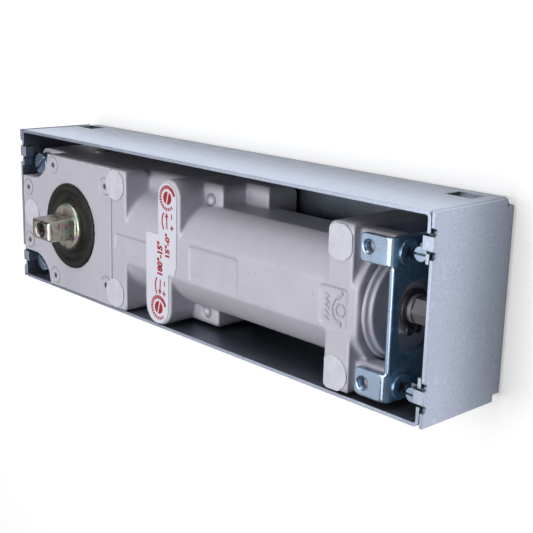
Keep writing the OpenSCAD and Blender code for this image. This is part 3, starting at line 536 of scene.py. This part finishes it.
def red_ink():
    """Printed ink."""
    ink = Vector(bpy.context.scene.closer_label.ink_colour)
    material, tree, shader = new_material("red_ink")
    grain = effect(tree, "grain", fine_size=0.25 * MM, broad_size=2 * MM)
    colour = mixed(tree, grain["Tone"], ink, ink * 1.3)
    surface(tree, shader, colour, between(tree, grain["Height"], 0.38, 0.5))
    return material


made_finishes = {}


def finishes():
    """Every finish by its material slot, made once."""
    if not made_finishes:
        metal = bpy.context.scene.closer_metal
        paper = Vector(bpy.context.scene.closer_label.paper_colour)
        made_finishes.update(
            galvanised_sheet=galvanised_sheet(),
            painted_casting=painted_casting(),
            blue_zinc=blue_zinc(),
            yellow_zinc=yellow_zinc(),
            ground_steel=steel("ground_steel", metal.ground_steel, 0.24),
            spring_steel=steel("spring_steel", (0.16, 0.15, 0.15), 0.34, 0.9),
            grey_steel=steel("grey_steel", metal.grey_steel, 0.42, 0.55),
            brass_screw=steel("brass_screw", (0.62, 0.46, 0.20), 0.26),
            black_rubber=black_rubber(),
            gasket_sheet=soft_sheet("gasket_sheet", (0.10, 0.10, 0.11), (0.07, 0.07, 0.075), 0.7, 0.5 * MM),
            printed_label=soft_sheet("printed_label", paper, paper * 0.95, 0.34, 0.3 * MM),
            pad_film=pad_film(),
            red_ink=red_ink(),
        )
    return made_finishes


# ---------- Meshes ----------


def dress(slot_name, *nodes):
    """Gives CAD nodes their finish."""
    for name in nodes:
        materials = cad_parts[name].data.materials
        materials.clear()
        materials.append(finishes()[slot_name])


def new_piece(name, mesh, finish, body, stands_for=()):
    """Puts a mesh in the scene as a piece that rides on a body."""
    piece = bpy.data.objects.new(name, mesh)
    bpy.context.scene.collection.objects.link(piece)
    mesh.materials.clear()
    mesh.materials.append(finishes()[finish])
    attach(piece, body)
    if stands_for:
        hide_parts(*stands_for)
    return piece


def drawn_mesh(data, grid=None):
    """The mesh that a mesh or a text curve draws, skinned on an even grid where one is given."""
    carrier = bpy.data.objects.new("carrier", data)
    bpy.context.scene.collection.objects.link(carrier)
    if grid:
        skin = carrier.modifiers.new("Skin", "REMESH")
        skin.mode, skin.voxel_size = "VOXEL", grid
    drawn = carrier.evaluated_get(bpy.context.evaluated_depsgraph_get())
    mesh = bpy.data.meshes.new_from_object(drawn)
    bpy.data.objects.remove(carrier)
    return mesh


def skinned(node, grid, added=None):
    """The mesh of a CAD node, with a solid added to it, on an even grid."""
    work = bmesh.new()
    work.from_mesh(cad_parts[node].data)
    if added is not None:
        work.from_mesh(added)
    joined = bpy.data.meshes.new("joined")
    work.to_mesh(joined)
    work.free()
    return drawn_mesh(joined, grid)


def coordinates(mesh):
    points = np.empty(len(mesh.vertices) * 3)
    mesh.vertices.foreach_get("co", points)
    return points.reshape(-1, 3)


def set_coordinates(mesh, points):
    mesh.vertices.foreach_set("co", points.ravel())
    mesh.update()


def relax(mesh, weights, passes):
    """Moves each point towards the middle of its neighbours, by its own weight."""
    points = coordinates(mesh)
    count = len(points)
    ends = np.empty(len(mesh.edges) * 2, np.int64)
    mesh.edges.foreach_get("vertices", ends)
    first, second = ends[0::2], ends[1::2]
    neighbours = np.bincount(ends, minlength=count)[:, None]
    pull = weights(points)[:, None] * 0.5
    for _ in range(passes):
        middle = np.stack(
            [
                np.bincount(first, points[second, axis], count)
                + np.bincount(second, points[first, axis], count)
                for axis in range(3)
            ],
            1,
        ) / np.maximum(neighbours, 1)
        points += pull * (middle - points)
    set_coordinates(mesh, points)


def smoothly(mesh, sharp_angle=None):
    """Smooth shading, with edges over the angle kept sharp."""
    mesh.shade_smooth()
    if sharp_angle is not None:
        mesh.set_sharp_from_angle(angle=sharp_angle)


def countersink(mesh, at, hole, width):
    """Bevels the rim of an upright hole in a mesh by pressing it down. at is the middle of the rim."""
    points = coordinates(mesh)
    off = np.hypot(points[:, 0] - at[0], points[:, 1] - at[1])
    drop = np.clip(hole + width - off, 0, width)
    points[:, 2] -= drop * np.clip(1 - (at[2] - points[:, 2]) / (3 * width), 0, 1)
    set_coordinates(mesh, points)


def rounded_piece(node, grid, passes, body, slot_name, shape=None):
    """Stands for a CAD node with its edges rounded off. shape moves the points of its mesh afterwards."""
    mesh = skinned(node, grid)
    relax(mesh, lambda points: np.ones(len(points)), passes)
    if shape:
        shape(mesh)
    smoothly(mesh)
    return new_piece(f"{node}_rounded", mesh, slot_name, body, [node])


def ease(values, low, high):
    """0 up to low, 1 from high on, with a smooth rise or fall between them."""
    share = np.clip((values - low) / (high - low), 0, 1)
    return share * share * (3 - 2 * share)


def from_bmesh(name, work, sharp_angle=math.radians(35)):
    """A mesh of the faces in work, all turned outwards."""
    mesh = bpy.data.meshes.new(name)
    bmesh.ops.recalc_face_normals(work, faces=work.faces)
    work.to_mesh(mesh)
    work.free()
    smoothly(mesh, sharp_angle)
    return mesh


def bridge(work, here, there):
    """Faces from one ring of points to the next."""
    for side in range(len(here)):
        after = (side + 1) % len(here)
        work.faces.new((here[side], here[after], there[after], there[side]))


def thread(name, foot, radius, depth, pitch, length, inward=False):
    """An upright threaded wall: a tube whose radius rises and falls once a turn, closed at both ends."""
    work = bmesh.new()
    foot = Vector(foot)
    sides, per_pitch, wall = 40, 8, 0.35 * MM
    rows = int(length / pitch * per_pitch)
    rings = []
    for row in range(rows + 1):
        z = length * row / rows
        fade = min(1, row / per_pitch, (rows - row) / per_pitch)
        ring = []
        for side in range(sides):
            angle = 2 * math.pi * side / sides
            wave = abs(((z / pitch - side / sides) % 1) * 2 - 1)
            r = radius - depth * (1 - wave if inward else wave) * fade
            ring.append(work.verts.new(foot + Vector((r * math.cos(angle), r * math.sin(angle), z))))
        rings.append(ring)
    for below, above in zip(rings, rings[1:]):
        bridge(work, below, above)
    if inward:
        backs = [
            [work.verts.new(spot.co + (spot.co - foot).xy.to_3d().normalized() * wall) for spot in ring]
            for ring in (rings[0], rings[-1])
        ]
        bridge(work, backs[0], rings[0])
        bridge(work, rings[-1], backs[1])
        bridge(work, backs[1], backs[0])
    else:
        work.faces.new(list(reversed(rings[0])))
        work.faces.new(rings[-1])
    return from_bmesh(name, work, math.radians(60))


def ribbon(work, points, width, z, thick, closed=False):
    """A flat line of even width with square ends, laid at a level."""
    turned = []
    count = len(points)
    for index, point in enumerate(points):
        before = points[(index - 1) % count] if closed or index else point
        after = points[(index + 1) % count] if closed or index < count - 1 else point
        ahead = (Vector(after) - Vector(before)).normalized()
        turned.append((Vector(point), Vector((-ahead.y, ahead.x))))
    rows = []
    for point, across in turned:
        row = []
        for share, level in ((-0.5, z), (0.5, z), (0.5, z + thick), (-0.5, z + thick)):
            spot = point + across * width * share
            row.append(work.verts.new((spot.x, spot.y, level)))
        rows.append(row)
    pairs = list(zip(rows, rows[1:])) + ([(rows[-1], rows[0])] if closed else [])
    for here, there in pairs:
        bridge(work, here, there)
    if not closed:
        work.faces.new(rows[0])
        work.faces.new(list(reversed(rows[-1])))


def plate(work, outline, z, thick):
    """A flat plate with the outline, laid at a level."""
    low = [work.verts.new((x, y, z)) for x, y in outline]
    high = [work.verts.new((x, y, z + thick)) for x, y in outline]
    work.faces.new(list(reversed(low)))
    work.faces.new(high)
    bridge(work, low, high)


def arc(centre, radius, start, end, count):
    """Points on an arc, angles in degrees."""
    spots = []
    for index in range(count):
        angle = math.radians(start + (end - start) * index / (count - 1))
        spots.append((centre[0] + radius * math.cos(angle), centre[1] + radius * math.sin(angle)))
    return spots


# ---------- Pieces ----------


class CLOSER_OT_sheet_box(bpy.types.Operator):
    """Galvanise the cement box"""

    bl_idname = "closer.sheet_box"
    bl_label = "Cement Box"

    def execute(self, context):
        dress("galvanised_sheet", "cement_box")
        return {"FINISHED"}


class CLOSER_OT_casting(bpy.types.Operator):
    """Round off the housing as a casting, with deep fillets in its pockets"""

    bl_idname = "closer.casting"
    bl_label = "Housing"

    def execute(self, context):
        chosen = context.scene.closer_casting
        mesh = skinned("housing", chosen.grid, self.barrel_shoulder())
        relax(mesh, self.pockets, chosen.fillet_passes)
        relax(mesh, self.outside, chosen.edge_passes)
        smoothly(mesh)
        new_piece("housing_casting", mesh, "painted_casting", "closer", ["housing"])
        return {"FINISHED"}

    @staticmethod
    def outside(points):
        """1 on the outside and 0 on the machined inside, so that bores and sunk panels keep their edges."""
        low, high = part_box("housing")
        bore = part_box("piston")[1].y + 1.2 * MM
        chamber, cage_half, cage_back, bore_start = mm(31, 18, -43, 15)
        floor, gasket = low.z + 3 * MM, high.z - 5.5 * MM
        x, y, z = points.T
        in_bore = (np.hypot(y, z - BARREL_AXIS_Z) < bore) & (x > bore_start)
        in_chamber = (np.hypot(x, y) < chamber) & (z > floor) & (z < gasket)
        in_cage = (np.abs(y) < cage_half) & (x > cage_back) & (x < bore_start) & (z > floor)
        weight = np.where(in_bore | in_chamber | in_cage, 0.0, 1.0)
        barrel_start, barrel_end, barrel_half = mm(112, 179, 14)
        weight[(x > barrel_start) & (x < barrel_end) & (np.abs(y) < barrel_half)] *= 0.35
        for start, end, half in (mm(97, 132.5, 9.2), mm(180, 197, 9.5), mm(39, 67, 4.6)):
            weight[(x > start) & (x < end) & (np.abs(y) < half) & (z > high.z - 1.5 * MM)] = 0.0
        return weight

    @staticmethod
    def pockets(points):
        """1 in the pockets between the head and the valve bosses, fading out at their edges."""
        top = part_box("housing")[1].z
        x, y, z = points.T
        along = ease(x, *mm(49, 50.2)) * ease(x, *mm(76, 70))
        across = ease(np.abs(y), *mm(9, 14))
        up = ease(z, BARREL_AXIS_Z + 2 * MM, BARREL_AXIS_Z + 7 * MM)
        below_top = ease(z, top - 0.1 * MM, top - 3.5 * MM)
        return CLOSER_OT_casting.outside(points) * along * across * up * below_top

    @staticmethod
    def barrel_shoulder():
        """The full section of the barrel, carried on up to the end cap."""
        work = bmesh.new()
        flat = CAST_TOP - BARREL_AXIS_Z
        radius, bore, start, bevel = mm(26.5, 19.2, 196.6, 0.9)
        sides = 72
        turn = [2 * math.pi * side / sides for side in range(sides)]

        def ring(x, r, limit):
            return [
                work.verts.new((
                    x,
                    min(limit, max(-limit, r * math.cos(angle))),
                    BARREL_AXIS_Z + min(limit, max(-limit, r * math.sin(angle))),
                ))
                for angle in turn
            ]

        rings = [
            ring(start, radius, flat),
            ring(CAP_SEAT - bevel, radius, flat),
            ring(CAP_SEAT, radius - bevel, flat - bevel),
            ring(CAP_SEAT, bore, bore),
            ring(start, bore, bore),
        ]
        for here, there in zip(rings, rings[1:] + rings[:1]):
            bridge(work, here, there)
        return from_bmesh("barrel_shoulder", work)


class CLOSER_OT_cover(bpy.types.Operator):
    """Round off the cover plate and the end cap, and finish the gasket"""

    bl_idname = "closer.cover"
    bl_label = "Cover and End Cap"

    def execute(self, context):
        extra, run = 0.13, 0.3 * MM

        def widen(mesh):
            points = coordinates(mesh)
            share = 1 + extra * ease(points[:, 0], CAP_SEAT - run, CAP_SEAT)
            points[:, 1] *= share
            points[:, 2] = BARREL_AXIS_Z + (points[:, 2] - BARREL_AXIS_Z) * share
            set_coordinates(mesh, points)

        rounded_piece("cover_plate", 0.5 * MM, 3, "closer", "painted_casting")
        rounded_piece("end_cap", 0.5 * MM, 3, "closer", "painted_casting", widen)
        dress("gasket_sheet", "cover_gasket")
        return {"FINISHED"}


class CLOSER_OT_seals(bpy.types.Operator):
    """Finish the rubber seals"""

    bl_idname = "closer.seals"
    bl_label = "Seals"

    def execute(self, context):
        dress("black_rubber", "spindle_seal", "piston_ring", "end_cap_seal", "adjuster_seal")
        dress("black_rubber", "valve_seals_closing", "valve_seals_latching")
        return {"FINISHED"}


class CLOSER_OT_spindle(bpy.types.Operator):
    """Plate the spindle and cut the thread in its end"""

    bl_idname = "closer.spindle"
    bl_label = "Spindle"

    def execute(self, context):
        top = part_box("spindle")[1].z
        hole, rim, cut, pitch, depth = mm(3.4, 0.8, 0.45, 1.25, 13)

        def bevel(mesh):
            countersink(mesh, (0, 0, top), hole, rim)

        rounded_piece("spindle", 0.32 * MM, 3, "door_spindle", "yellow_zinc", bevel)
        # The thread is real; its dark spring steel finish is painted shade for the depth of the hole
        mesh = thread("spindle_thread", (0, 0, top - depth), hole, cut, pitch, depth - rim, inward=True)
        new_piece("spindle_thread", mesh, "spring_steel", "door_spindle")
        return {"FINISHED"}


class CLOSER_OT_works(bpy.types.Operator):
    """Finish the cam, the roller cage, the piston, the bearings and the spring seat"""

    bl_idname = "closer.works"
    bl_label = "Cam, Cage and Spring"

    def execute(self, context):
        dress("ground_steel", "cam_disc", "cam_key", "cam_spacer", "cage_pins", "front_roller", "rear_roller")
        dress("ground_steel", "upper_cage_plate", "lower_cage_plate", "piston", "spring_seat")
        dress("ground_steel", "upper_bearing", "lower_bearing")
        dress("painted_casting", "duct_plugs")
        dress("spring_steel", "adjuster_circlip")
        dress("brass_screw", "check_valve", "closing_valve", "latching_valve")
        return {"FINISHED"}


class CLOSER_OT_spring(bpy.types.Operator):
    """Halve the main spring into a piston end and a seat end, both riding on the closer"""

    bl_idname = "closer.spring"
    bl_label = "Main Spring"

    def execute(self, context):
        low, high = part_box("main_spring")
        middle = (low + high) / 2
        for joint, label, side in (("cage_slide", "piston_end", 1), ("seat_slide", "seat_end", -1)):
            work = bmesh.new()
            work.from_mesh(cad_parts["main_spring"].data)
            cut = bmesh.ops.bisect_plane(
                work,
                geom=work.verts[:] + work.edges[:] + work.faces[:],
                plane_co=middle,
                plane_no=(side, 0, 0),
                clear_outer=True,
            )
            edges = [item for item in cut["geom_cut"] if isinstance(item, bmesh.types.BMEdge)]
            bmesh.ops.holes_fill(work, edges=edges)
            piece = new_piece(
                f"main_spring_{label}", from_bmesh(label, work), "spring_steel", "closer", ["main_spring"]
            )
            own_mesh(piece)
        return {"FINISHED"}


class CLOSER_OT_adjuster(bpy.types.Operator):
    """Finish the force adjuster and the side plug"""

    bl_idname = "closer.adjuster"
    bl_label = "Force Adjuster"

    def execute(self, context):
        dress("grey_steel", "force_adjuster", "side_plug")
        return {"FINISHED"}


class CLOSER_OT_bracket(bpy.types.Operator):
    """Round off and plate the bracket, and cut the threads in its lugs"""

    bl_idname = "closer.bracket"
    bl_label = "Bracket"

    def execute(self, context):
        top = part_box("bracket")[1].z
        hole, rim, cut, pitch, lug = mm(2.12, 0.75, 0.3, 0.8, 2.45)
        centres = {"near": mm(205, -27.3), "far": mm(205, 27.3)}

        def bevel(mesh):
            for centre in centres.values():
                countersink(mesh, (*centre, top), hole, rim)

        rounded_piece("bracket", 0.36 * MM, 4, "closer", "blue_zinc", bevel)
        for label, centre in centres.items():
            name = f"lug_thread_{label}"
            mesh = thread(name, (*centre, top - lug), hole, cut, pitch, lug - rim, inward=True)
            new_piece(name, mesh, "blue_zinc", "closer")
        return {"FINISHED"}


class CLOSER_OT_screws(bpy.types.Operator):
    """Finish the screws and thread the levelling screws"""

    bl_idname = "closer.screws"
    bl_label = "Screws"

    def execute(self, context):
        rounded_piece("fixing_screws", 0.26 * MM, 3, "closer", "blue_zinc")
        self.bracket_screws()
        dress("blue_zinc", "fixing_washers", "levelling_screws")
        dress("painted_casting", "cover_screws")
        low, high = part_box("levelling_screws")
        head_radius, head_room, radius, depth, pitch = mm(2.9, 3.2, 2.25, 0.32, 0.7)
        for y, label in ((low.y + head_radius, "near"), (high.y - head_radius, "far")):
            name, foot = f"levelling_thread_{label}", ((low.x + high.x) / 2, y, low.z)
            mesh = thread(name, foot, radius, depth, pitch, high.z - low.z - head_room)
            new_piece(name, mesh, "blue_zinc", "box")
        return {"FINISHED"}

    @staticmethod
    def bracket_screws():
        """Flat heads on the bracket, each with a dark cross laid on as painted shade for its recess."""
        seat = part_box("bracket")[1].x
        low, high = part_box("bracket_screws")
        head_radius, reach, line, rise, lift = mm(5.2, 2.9, 1.0, 0.08, 0.01)
        flatness = 0.5

        def flatten(mesh):
            points = coordinates(mesh)
            points[:, 0] -= flatness * np.clip(points[:, 0] - seat, 0, None)
            set_coordinates(mesh, points)

        rounded_piece("bracket_screws", 0.22 * MM, 2, "closer", "blue_zinc", flatten)
        # Painted shade: dark raised crosses stand for the shaded recesses of the heads
        work = bmesh.new()
        face = (high.x - seat) * flatness
        for middle in (low.y + head_radius, high.y - head_radius):
            for turn, above in ((25, 0), (115, lift)):
                ahead = Vector((math.cos(math.radians(turn)), math.sin(math.radians(turn)))) * reach
                centre = Vector((middle, 0))
                ribbon(work, [centre - ahead, centre + ahead], line, face + above, rise)
        recess_shade = from_bmesh("bracket_screw_recess_shade", work)
        upright = Matrix(((0, 0, 1, seat), (1, 0, 0, 0), (0, 1, 0, (low.z + high.z) / 2), (0, 0, 0, 1)))
        recess_shade.transform(upright)
        new_piece("bracket_screw_recess_shade", recess_shade, "spring_steel", "closer")


def wedge(work, centre, inner, outer, start, end, z, thick):
    """A block of a ring, between two radii and two angles in degrees."""
    count = max(1, round(abs(end - start) / 8))
    far = arc(centre, outer, start, end, count + 1)
    near = arc(centre, inner, start, end, count + 1)
    for index in range(count):
        plate(work, [near[index], far[index], far[index + 1], near[index + 1]], z, thick)


def dial(work, centre, radius, ticks, z, thick):
    """A slotted disc in a ring of ticks that grow clockwise into a solid band."""
    hub, slot, tilt = 0.51 * radius, 0.4 * MM, 75
    edge = math.degrees(math.asin(slot / hub))
    for side in (0, 180):
        plate(work, arc(centre, hub, tilt + side + edge, tilt + side + 180 - edge, 16), z, thick)
    first, sweep, band = -46, 245, 18
    pitch = sweep / ticks
    for index in range(ticks):
        share = index / ticks
        start = first - index * pitch
        end = start - (0.58 + 0.3 * share) * pitch
        wedge(work, centre, (0.76 - 0.06 * share) * radius, radius, start, end, z, thick)
    for index in range(3):
        start = first - sweep - index * band
        wedge(work, centre, (0.70 + 0.02 * index) * radius, radius, start, start - band, z, thick)


def arrow(work, base, tip, z, thick):
    """A straight arrow with a filled head."""
    base, tip = Vector(base), Vector(tip)
    head_length, head_half, shaft = mm(2.3, 1.3, 0.8)
    ahead = (tip - base).normalized()
    across = Vector((-ahead.y, ahead.x)) * head_half
    neck = tip - ahead * head_length
    ribbon(work, [base, neck], shaft, z, thick)
    plate(work, [neck - across, tip, neck + across], z, thick)


def lettering(name, text, middle, length, height, z, thick):
    """Heavy slanted letters that read along Y, as a mesh of a given length and height."""
    curve = bpy.data.curves.new(name, "FONT")
    curve.body = text
    curve.resolution_u = 4
    curve.shear = 0.06
    curve.offset = 0.055
    curve.extrude = 0.5
    mesh = drawn_mesh(curve)
    points = coordinates(mesh)
    low, high = points.min(0), points.max(0)
    along, across, up = ((points - (low + high) / 2) / (high - low)).T
    laid = (middle[0] - across * height, middle[1] + along * length, z + up * thick)
    set_coordinates(mesh, np.stack(laid, 1))
    return mesh


class CLOSER_OT_label(bpy.types.Operator):
    """Finish the valve label and print its dials, arrows and angle ranges"""

    bl_idname = "closer.label"
    bl_label = "Valve Label"

    def execute(self, context):
        chosen = context.scene.closer_label
        dress("printed_label", "valve_label")
        thick, gap, lift = mm(0.02, 0.006, 0.004)
        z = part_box("valve_label")[1].z + gap
        dials = bmesh.new()
        for centre in (mm(82.5, 27.2), mm(76.0, -26.4)):
            dial(dials, centre, chosen.tick_ring_radius, chosen.tick_count, z, thick)
        arrows = bmesh.new()
        for base, tip, bow in (
            (mm(82.3, 12.6), mm(81.9, 20.4), mm(84.9, 16.1)),
            (mm(77.3, -12.4), mm(76.8, -20.0), mm(79.7, -15.9)),
        ):
            arrow(arrows, base, tip, z, thick)
            ribbon(arrows, arc(bow, 6.3 * MM, 142, 218, 16), 0.9 * MM, z, thick)
        pluses, minuses = (mm(85.9, 13.6), mm(80.1, -18.9)), (mm(85.7, 18.9), mm(80.4, -14.0))
        line, half_across, half_along = mm(0.7, 1.2, 1.25)
        for x, y in pluses:
            ribbon(arrows, [(x - half_across, y), (x + half_across, y)], line, z, thick)
        for x, y in pluses + minuses:
            ribbon(arrows, [(x, y - half_along), (x, y + half_along)], line, z + lift, thick)
        printed = {"label_dials": from_bmesh("label_dials", dials)}
        printed["label_arrows"] = from_bmesh("label_arrows", arrows)
        for name, text, middle, length, height in (
            ("label_closing_range", "180°-15°", mm(76.8, -2.2), 16.2 * MM, chosen.letter_height),
            ("label_latching_range", "15°-0°", mm(82.5, 4.9), 11.4 * MM, 0.83 * chosen.letter_height),
        ):
            printed[name] = lettering(name, text, middle, length, height, z + thick / 2, thick)
        for name, mesh in printed.items():
            new_piece(name, mesh, "red_ink", "closer")
        return {"FINISHED"}


class CLOSER_OT_pads(bpy.types.Operator):
    """Finish the film pads"""

    bl_idname = "closer.pads"
    bl_label = "Pads"

    def execute(self, context):
        dress("pad_film", "cover_pads")
        return {"FINISHED"}


class CLOSER_OT_marks(bpy.types.Operator):
    """Cast the sign of spring, hexagon and turn into its sunk field"""

    bl_idname = "closer.marks"
    bl_label = "Cast Marks"

    def execute(self, context):
        work = bmesh.new()
        depth, rise, line, lift = mm(0.55, 0.38, 0.55, 0.01)
        floor, middle = CAST_TOP - depth, -0.8
        ribbon(work, arc(mm(192.1, middle), 2.6 * MM, 0, 300, 6), line, floor, rise, closed=True)
        zigzag = [mm(184.9 + (1.1 if step % 2 else -1.1), 4.9 - step * 1.2) for step in range(10)]
        ribbon(work, zigzag, line, floor, rise)
        ribbon(work, arc(mm(193.8, middle), 6.0 * MM, 125, 235, 14), line, floor, rise)
        for side in (-1, 1):
            foot = Vector(mm(190.4, middle + side * 4.9))
            half = Vector(mm(0, 0.9))
            plate(work, [foot + half, foot + Vector(mm(1.9, side * 0.5)), foot - half], floor, rise)
        for start, end, above in (
            (mm(191.6, 6.2), mm(193.4, 6.2), 0),
            (mm(192.5, 5.3), mm(192.5, 7.1), lift),
            (mm(192.5, -7.4), mm(192.5, -5.6), 0),
        ):
            ribbon(work, [start, end], line, floor, rise + above)
        new_piece("cast_marks", from_bmesh("cast_marks", work), "painted_casting", "closer")
        return {"FINISHED"}


# ---------- Stage ----------


# Name, place in metres, size in metres and power in watts
LAMPS = (
    ("Overhead", (0.05, 0.85, 0.20), 0.8, 3.5),
    ("Above", (0.10, 0.0, 1.0), 0.8, 6.9),
    ("High", (0.10, 0.60, 0.75), 0.6, 0.75),
    ("Left", (-0.45, -0.15, 0.75), 0.6, 0.8),
    ("Key", (0.75, -0.05, 0.80), 0.6, 0.45),
)


class CLOSER_OT_stage(bpy.types.Operator):
    """Set up the floor, the lights and the camera"""

    bl_idname = "closer.stage"
    bl_label = "Stage"

    def execute(self, context):
        scene = context.scene
        chosen = scene.closer_stage
        scene.view_settings.view_transform = "Standard"
        self.lay_floor()
        self.light_world(chosen.world_light)
        for name, at, size, power in LAMPS:
            lamp = bpy.data.lights.new(name, "AREA")
            lamp.shape, lamp.size, lamp.energy = "DISK", size, power
            holder = bpy.data.objects.new(name, lamp)
            scene.collection.objects.link(holder)
            holder.location = at
            aim = Vector(chosen.camera_aim) - Vector(at)
            holder.rotation_euler = aim.to_track_quat("-Z", "Y").to_euler()
        lens = bpy.data.cameras.new("Camera")
        lens.lens, lens.sensor_width = chosen.lens, 36
        lens.clip_start, lens.clip_end = 0.01, 20
        camera = bpy.data.objects.new("Camera", lens)
        scene.collection.objects.link(camera)
        camera.location = chosen.camera_at
        aim = Vector(chosen.camera_aim) - Vector(chosen.camera_at)
        turned = aim.to_track_quat("-Z", "Y").to_matrix().to_4x4() @ Matrix.Rotation(chosen.camera_roll, 4, "Z")
        camera.rotation_euler = turned.to_euler()
        scene.camera = camera
        return {"FINISHED"}

    @staticmethod
    def lay_floor():
        """A pale floor, white to the camera and in reflections, that keeps the shadow near the part."""
        half, thick, gap, glow_strength = 3, 10 * MM, 0.2 * MM, 0.43
        near, far = 0.5, 1.2
        work = bmesh.new()
        plate(work, [(-half, -half), (half, -half), (half, half), (-half, half)], -thick - gap, thick)
        floor = bpy.data.objects.new("floor", from_bmesh("floor", work))
        bpy.context.scene.collection.objects.link(floor)
        material, tree, shader = new_material("pale_floor", roughness=0.9)
        grain = effect(tree, "grain", fine_size=2 * MM, broad_size=200 * MM)
        colour = mixed(tree, grain["Tone"], (0.80, 0.80, 0.80), (0.78, 0.78, 0.78))
        tree.links.new(colour, shader.inputs["Base Color"])
        path = add_node(tree, "ShaderNodeLightPath")
        seen = maths(tree, "MAXIMUM", path.outputs["Is Camera Ray"], path.outputs["Is Glossy Ray"])
        away = add_node(tree, "ShaderNodeVectorMath", {0: place(tree)}, operation="LENGTH").outputs["Value"]
        fade = maths(tree, "MULTIPLY", steps(tree, away, near, far), path.outputs["Is Camera Ray"])
        strength = maths(tree, "MAXIMUM", maths(tree, "MULTIPLY", seen, glow_strength), fade)
        glow = add_node(tree, "ShaderNodeEmission", {"Color": (1, 1, 1, 1), "Strength": strength})
        both = add_node(tree, "ShaderNodeAddShader", {0: shader.outputs[0], 1: glow.outputs[0]})
        tree.links.new(both.outputs[0], tree.nodes["Material Output"].inputs["Surface"])
        floor.data.materials.append(material)

    @staticmethod
    def light_world(strength):
        """An even light all round, white where the camera sees it."""
        world = bpy.data.worlds.new("Studio")
        world.use_nodes = True
        tree = world.node_tree
        path = add_node(tree, "ShaderNodeLightPath")
        seen = maths(tree, "MAXIMUM", path.outputs["Is Camera Ray"], path.outputs["Is Transmission Ray"])
        tree.links.new(between(tree, seen, strength, 1.0), tree.nodes["Background"].inputs["Strength"])
        tree.nodes["Background"].inputs["Color"].default_value = (1, 1, 1, 1)
        bpy.context.scene.world = world


class CLOSER_PT_panel(bpy.types.Panel):
    """Sizes, colours and making of the closer"""

    bl_label = "Floor Spring Door Closer"
    bl_idname = "CLOSER_PT_panel"
    bl_space_type = "VIEW_3D"
    bl_region_type = "UI"
    bl_category = "Closer"

    def draw(self, context):
        for name in SETTINGS:
            settings = getattr(context.scene, name)
            column = self.layout.box().column()
            for label in settings.__annotations__:
                column.prop(settings, label)
        for operator in OPERATORS:
            self.layout.operator(operator.bl_idname)


SETTINGS = {
    "closer_box": CloserBoxSettings,
    "closer_casting": CloserCastingSettings,
    "closer_metal": CloserMetalSettings,
    "closer_label": CloserLabelSettings,
    "closer_stage": CloserStageSettings,
}
OPERATORS = (
    CLOSER_OT_sheet_box,
    CLOSER_OT_casting,
    CLOSER_OT_cover,
    CLOSER_OT_seals,
    CLOSER_OT_spindle,
    CLOSER_OT_works,
    CLOSER_OT_spring,
    CLOSER_OT_adjuster,
    CLOSER_OT_bracket,
    CLOSER_OT_screws,
    CLOSER_OT_label,
    CLOSER_OT_pads,
    CLOSER_OT_marks,
    CLOSER_OT_stage,
)


def register():
    for kind in (*SETTINGS.values(), *OPERATORS, CLOSER_PT_panel):
        bpy.utils.register_class(kind)
    for name, kind in SETTINGS.items():
        setattr(bpy.types.Scene, name, PointerProperty(type=kind))


def unregister():
    for name in SETTINGS:
        delattr(bpy.types.Scene, name)
    for kind in reversed((*SETTINGS.values(), *OPERATORS, CLOSER_PT_panel)):
        bpy.utils.unregister_class(kind)


def main():
    register()
    for operator in OPERATORS:
        group, name = operator.bl_idname.split(".")
        getattr(getattr(bpy.ops, group), name)()


if __name__ == "__main__":
    main()
